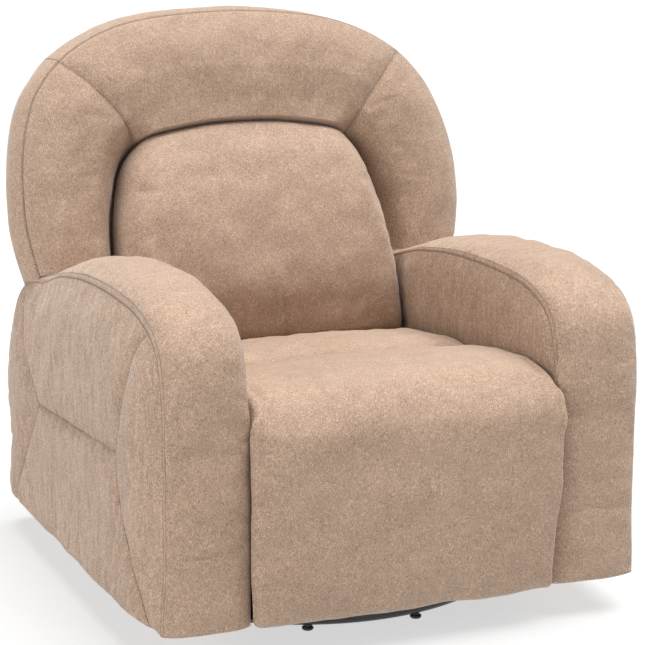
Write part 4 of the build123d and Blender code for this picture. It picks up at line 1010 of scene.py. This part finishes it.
def make_chaise(name):
    sh, idx, loop, nor = make_pad(name, CHAISE_OUT, CHAISE_IN, chaise_width, 11.0, chaise_crown, n=132, step=6.0, bulge=4.0)
    o = sh.object(name, VELVET)
    c = get_co(o)
    n = len(loop) // 2
    pin = np.ones(len(c))
    row = np.zeros(2 * n)
    tt = np.linspace(0, 1, n)
    row[:n] = smooth(np.minimum(tt / 0.05, (1 - tt) / 0.03))
    m = idx.shape[0]
    across = np.clip(np.minimum(np.arange(m), m - 1 - np.arange(m)) / 9.0, 0, 1)
    tmp = np.zeros(len(c))
    np.maximum.at(tmp, sh.index[idx].ravel(), (row[None] * smooth(across)[:, None]).ravel())
    inflate(o, 1 - tmp, pressure=3.0, cap=4.0, frames=11, stiff=16, bend=0.8, shrink=-0.012)
    relax(o, 1, amount=0.3)
    c, nrm = get_co(o), get_no(o)
    c[:, 0] -= 5.0 * smooth((-c[:, 0] - 120) / 130) * smooth((330 - c[:, 2]) / 180) * smooth((-c[:, 1] - 446) / 20)
    face = smooth((-c[:, 1] - 455) / 25)
    w = (1.7 * ripple(c, 61, 110, 230) + 0.7 * ripple(c, 62, 40, 80)) * (0.6 + 0.4 * face)
    w += 1.1 * np.sin(c[:, 2] / 14.0 + 3 * np.sin(c[:, 2] / 57.0)) * smooth((np.abs(c[:, 0]) - 235) / 40) * face
    set_co(o, c + nrm * (sh.out["soft"] * w)[:, None])
    return o


chaise = make_chaise("chaise_pad")
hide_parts("seat_front_pad", "chaise_bridge", "footrest_pad")
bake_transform(chaise)

SEAT_OUT = [(-158, 376), (-167, 392), (-168, 403), (-159, 412.5), (-138, 421), (-100, 425), (-50, 422), (10, 415),
            (65, 409), (110, 402.5), (138, 396), (151, 380)]
SEAT_IN = [(-148, 362), (-100, 357), (-40, 356), (40, 355), (100, 355), (130, 356), (141, 360)]


def make_seat(name):
    sh, idx, loop, nor = make_pad(name, SEAT_OUT, SEAT_IN, lambda y, z: np.full(np.shape(y), 271.5), 13.0,
                                  lambda y, z: np.interp(y, [-168, -150, -80, 60, 140], [4.0, 7.0, 10.0, 8.0, 2.0]),
                                  n=74, step=6.0)
    o = sh.object(name, VELVET)
    c = get_co(o)
    n = len(loop) // 2
    row = np.zeros(2 * n)
    tt = np.linspace(0, 1, n)
    row[:n] = smooth(np.minimum(tt / 0.10, (1 - tt) / 0.12))
    m = idx.shape[0]
    across = np.clip(np.minimum(np.arange(m), m - 1 - np.arange(m)) / 9.0, 0, 1)
    tmp = np.zeros(len(c))
    np.maximum.at(tmp, sh.index[idx].ravel(), (row[None] * smooth(across)[:, None]).ravel())
    inflate(o, 1 - tmp, pressure=3.0, cap=4.5, frames=11, stiff=16, bend=0.8, shrink=-0.015)
    c, nrm = get_co(o), get_no(o)
    w = 1.2 * ripple(c, 71, 80, 170) + 0.6 * ripple(c, 72, 28, 60)
    w *= np.clip((262 - np.abs(c[:, 0])) / 40, 0.15, 1)
    set_co(o, c + nrm * (sh.out["soft"] * w)[:, None])
    return o


done(make_seat("seat_pillow"), "chair", ["seat_cushion"])


def make_back_cushion(name):
    side = [(274, -332), (274, -260), (273, -200), (270, bv(565)), (263.5, bv(630)), (254.5, bv(669)), (247, bv(700)),
            (231, bv(733))]
    topc = [(231, bv(733)), (210, bv(756)), (190, bv(768.5)), (164, bv(775)), (132, bv(780)), (65, bv(788)), (0, bv(790))]
    R, _ = spline(side + topc[1:])
    k = 7 * 24
    right = resample(R[:k + 1], 78)
    half = R[k:]
    top = resample(np.vstack([half, half[-2::-1] * [-1, 1]]), 92)
    left = right * [-1, 1]
    us, vs = np.linspace(0, 1, 92), np.linspace(0, 1, 78)
    bot = right[0] + (left[0] - right[0]) * us[:, None]
    Q = coons(bot, top, right, left, us, vs)
    d = to_lines(Q, np.vstack([right, top, left[::-1]]))
    d[0] = d[-1] = 0
    d[:, -1] = 0
    db = Q[..., 1] - bot[0, 1]
    bulge, _ = spline([(-345, 104), (-301, 119), (-240, 127.5), (-180, 127.5), (-120, 119), (-60, 105.5), (0, 87), (50, 69), (95, 54)])
    nc = np.interp(Q[..., 1], bulge[:, 0], bulge[:, 1])
    nc = nc - 7.0 * (np.abs(Q[..., 0]) / 268) ** 2.5
    rim_in, _ = spline([(-340, 70), (-240, 46), (-120, 6), (-10, -19), (40, -4), (72, 19), (95, 26)])
    ne = np.interp(Q[..., 1], rim_in[:, 0], rim_in[:, 1])
    Rr = np.interp(Q[..., 1], [-320, -220, -80, 30, 80], [30.0, 36.0, 52.0, 56.0, 44.0])
    F = np.sqrt(np.clip(1 - (1 - np.clip(d / Rr, 0, 1)) ** 2, 0, 1))
    Fb = np.sqrt(np.clip(1 - (1 - np.clip(db / 16.0, 0, 1)) ** 2, 0, 1))
    n = ne + (nc - ne) * F
    n = np.minimum(n, 92 + (n - 92) * Fb)
    rear = np.interp(Q[..., 1], [-320, -290, -200, 100], [-14, -30, -42, -42])
    P = back_xyz(Q[..., 0], Q[..., 1], n)
    B = back_xyz(Q[..., 0] * 0.97, Q[..., 1] - 0.03 * (Q[..., 1] + 120) * 0.5, rear)
    sh = Shell()
    idx = sh.grid(P, pin=np.maximum((d < 8) * 1.0, (db < 8) * 1.0), soft=np.clip(d / 40, 0, 1))
    sh.grid(B, pin=1.0, soft=0.0)
    for a, b in ((P[0], B[0]), (P[-1], B[-1]), (P[:, 0], B[:, 0]), (P[:, -1], B[:, -1])):
        t = np.linspace(0, 1, 5)[:, None, None]
        sh.grid(a[None] * (1 - t) + b[None] * t, pin=1.0, soft=0.0)
    o = sh.object(name, VELVET)
    inflate(o, sh.out["pin"], pressure=3.0, cap=5.0, frames=11, stiff=16, bend=0.8, shrink=-0.012)
    c, nrm = get_co(o), get_no(o)
    w = 1.5 * ripple(c, 81, 100, 220) + 0.6 * ripple(c, 82, 36, 80)
    set_co(o, c + nrm * (sh.out["soft"] * w)[:, None])
    return o


done(make_back_cushion("back_pillow"), "backrest", ["back_cushion"])


def make_apron(name):
    outer = [arc(251, a) for a in np.linspace(36.5, 65.8, 12)]
    inner = [arc(246, a) for a in np.linspace(36.7, 65.6, 12)]
    sh, idx, loop, nor = make_pad(name, outer, inner, lambda y, z: np.full(np.shape(y), 272.0), 2.2, 1.5, n=34, step=8.0, bulge=0.0)
    o = sh.object(name, VELVET)
    c, nrm = get_co(o), get_no(o)
    w = np.clip(0.7 * ripple(c, 91, 90, 200), -0.8, 0.8)
    outside = np.linalg.norm(c[:, 1:] - H, axis=1) > 249
    set_co(o, c + nrm * (w * outside)[:, None])
    fin = get_co(o)
    hem = []
    xs = np.linspace(-266, 266, 90)
    y, z = arc(253.2, 63.0)
    hem.append(cast(o, [(x, y, z) for x in xs], (0, -math.sin(math.radians(63)), -math.cos(math.radians(63))), 0.2))
    return o, tubes("apron_stitching", hem, 0.5, THREAD, dash=(4.0, 1.8))


apron, apron_st = make_apron("back_apron_flap")
done(apron, "backrest", ["back_apron"])
done(apron_st, "backrest")


def make_rear_panel(name):
    outer = [(480, 66), (483, 74), (484, 110), (484, 180), (484, 250), (484, 322)] + [arc(236, a) for a in (76, 72, 68, 65.2)]
    inner = [(472, 66), (469, 74), (469, 110), (469, 180), (469, 250), (468.6, 326)] + [arc(221, a) for a in (77, 73, 69, 65.4)]
    sh, idx, loop, nor = make_pad(name, outer, inner, lambda y, z: np.full(np.shape(y), 277.5), 5.0,
                                  lambda y, z: np.interp(z, [66, 90, 150, 205, 345], [0.5, 1.8, 1.8, 0.0, 0.0]), n=64, step=7.0, bulge=0.0)
    o = sh.object(name, VELVET_SIDE)
    c, nrm = get_co(o), get_no(o)
    rear = smooth((c[:, 1] - 474) / 6) * smooth((215 - c[:, 2]) / 50)
    w = 0.9 * ripple(c, 95, 90, 220)
    set_co(o, c + nrm * (w * rear)[:, None])
    return o


done(make_rear_panel("rear_panel_upholstery"), "chair", ["rear_panel"])

# ---------------------------------------------------------------------------
# Floor
# ---------------------------------------------------------------------------
fm, fnt, fb = material("pale_floor")
fv = coords(fnt)
grain = noise(fnt, fv, 3.0, 3.0, 0.5)
fnt.links.new(ramp(fnt, grain, [(0.3, (0.26, 0.26, 0.26)), (0.7, (0.28, 0.28, 0.28))]), fb.inputs["Base Color"])
fb.inputs["Roughness"].default_value = 0.9
fb.inputs["Specular IOR Level"].default_value = 0.1
fb.inputs["Emission Color"].default_value = (1.0, 1.0, 1.0, 1.0)
fb.inputs["Emission Strength"].default_value = 0.62
fme = bpy.data.meshes.new("floor")
n = 24
fx = np.linspace(-60, 60, n + 1)
fp = [(x, y, 0.0) for y in fx for x in fx]
fq = [[j * (n + 1) + i, j * (n + 1) + i + 1, (j + 1) * (n + 1) + i + 1, (j + 1) * (n + 1) + i] for j in range(n) for i in range(n)]
fme.from_pydata(fp, [], fq)
fme.materials.append(fm)
floor = bpy.data.objects.new("floor", fme)
scene.collection.objects.link(floor)

# a low white surround at the far edge, behind the floor
wm, wnt, wb = material("white_surround")
wnt.links.new(ramp(wnt, noise(wnt, coords(wnt), 0.05), [(0.3, (0.90, 0.90, 0.90)), (0.7, (0.92, 0.92, 0.92))]), wb.inputs["Base Color"])
wb.inputs["Emission Color"].default_value = (1.0, 1.0, 1.0, 1.0)
wb.inputs["Emission Strength"].default_value = 1.0
wb.inputs["Roughness"].default_value = 0.9
wme = bpy.data.meshes.new("surround")
wp = [(58 * math.cos(a), 58 * math.sin(a), z) for z in (0.0, 12.0) for a in np.linspace(0, 2 * math.pi, 72, endpoint=False)]
wme.from_pydata(wp, [], [[i, (i + 1) % 72, 72 + (i + 1) % 72, 72 + i] for i in range(72)])
wme.materials.append(wm)
surround = bpy.data.objects.new("surround", wme)
scene.collection.objects.link(surround)
surround.visible_shadow = False
surround.visible_diffuse = False
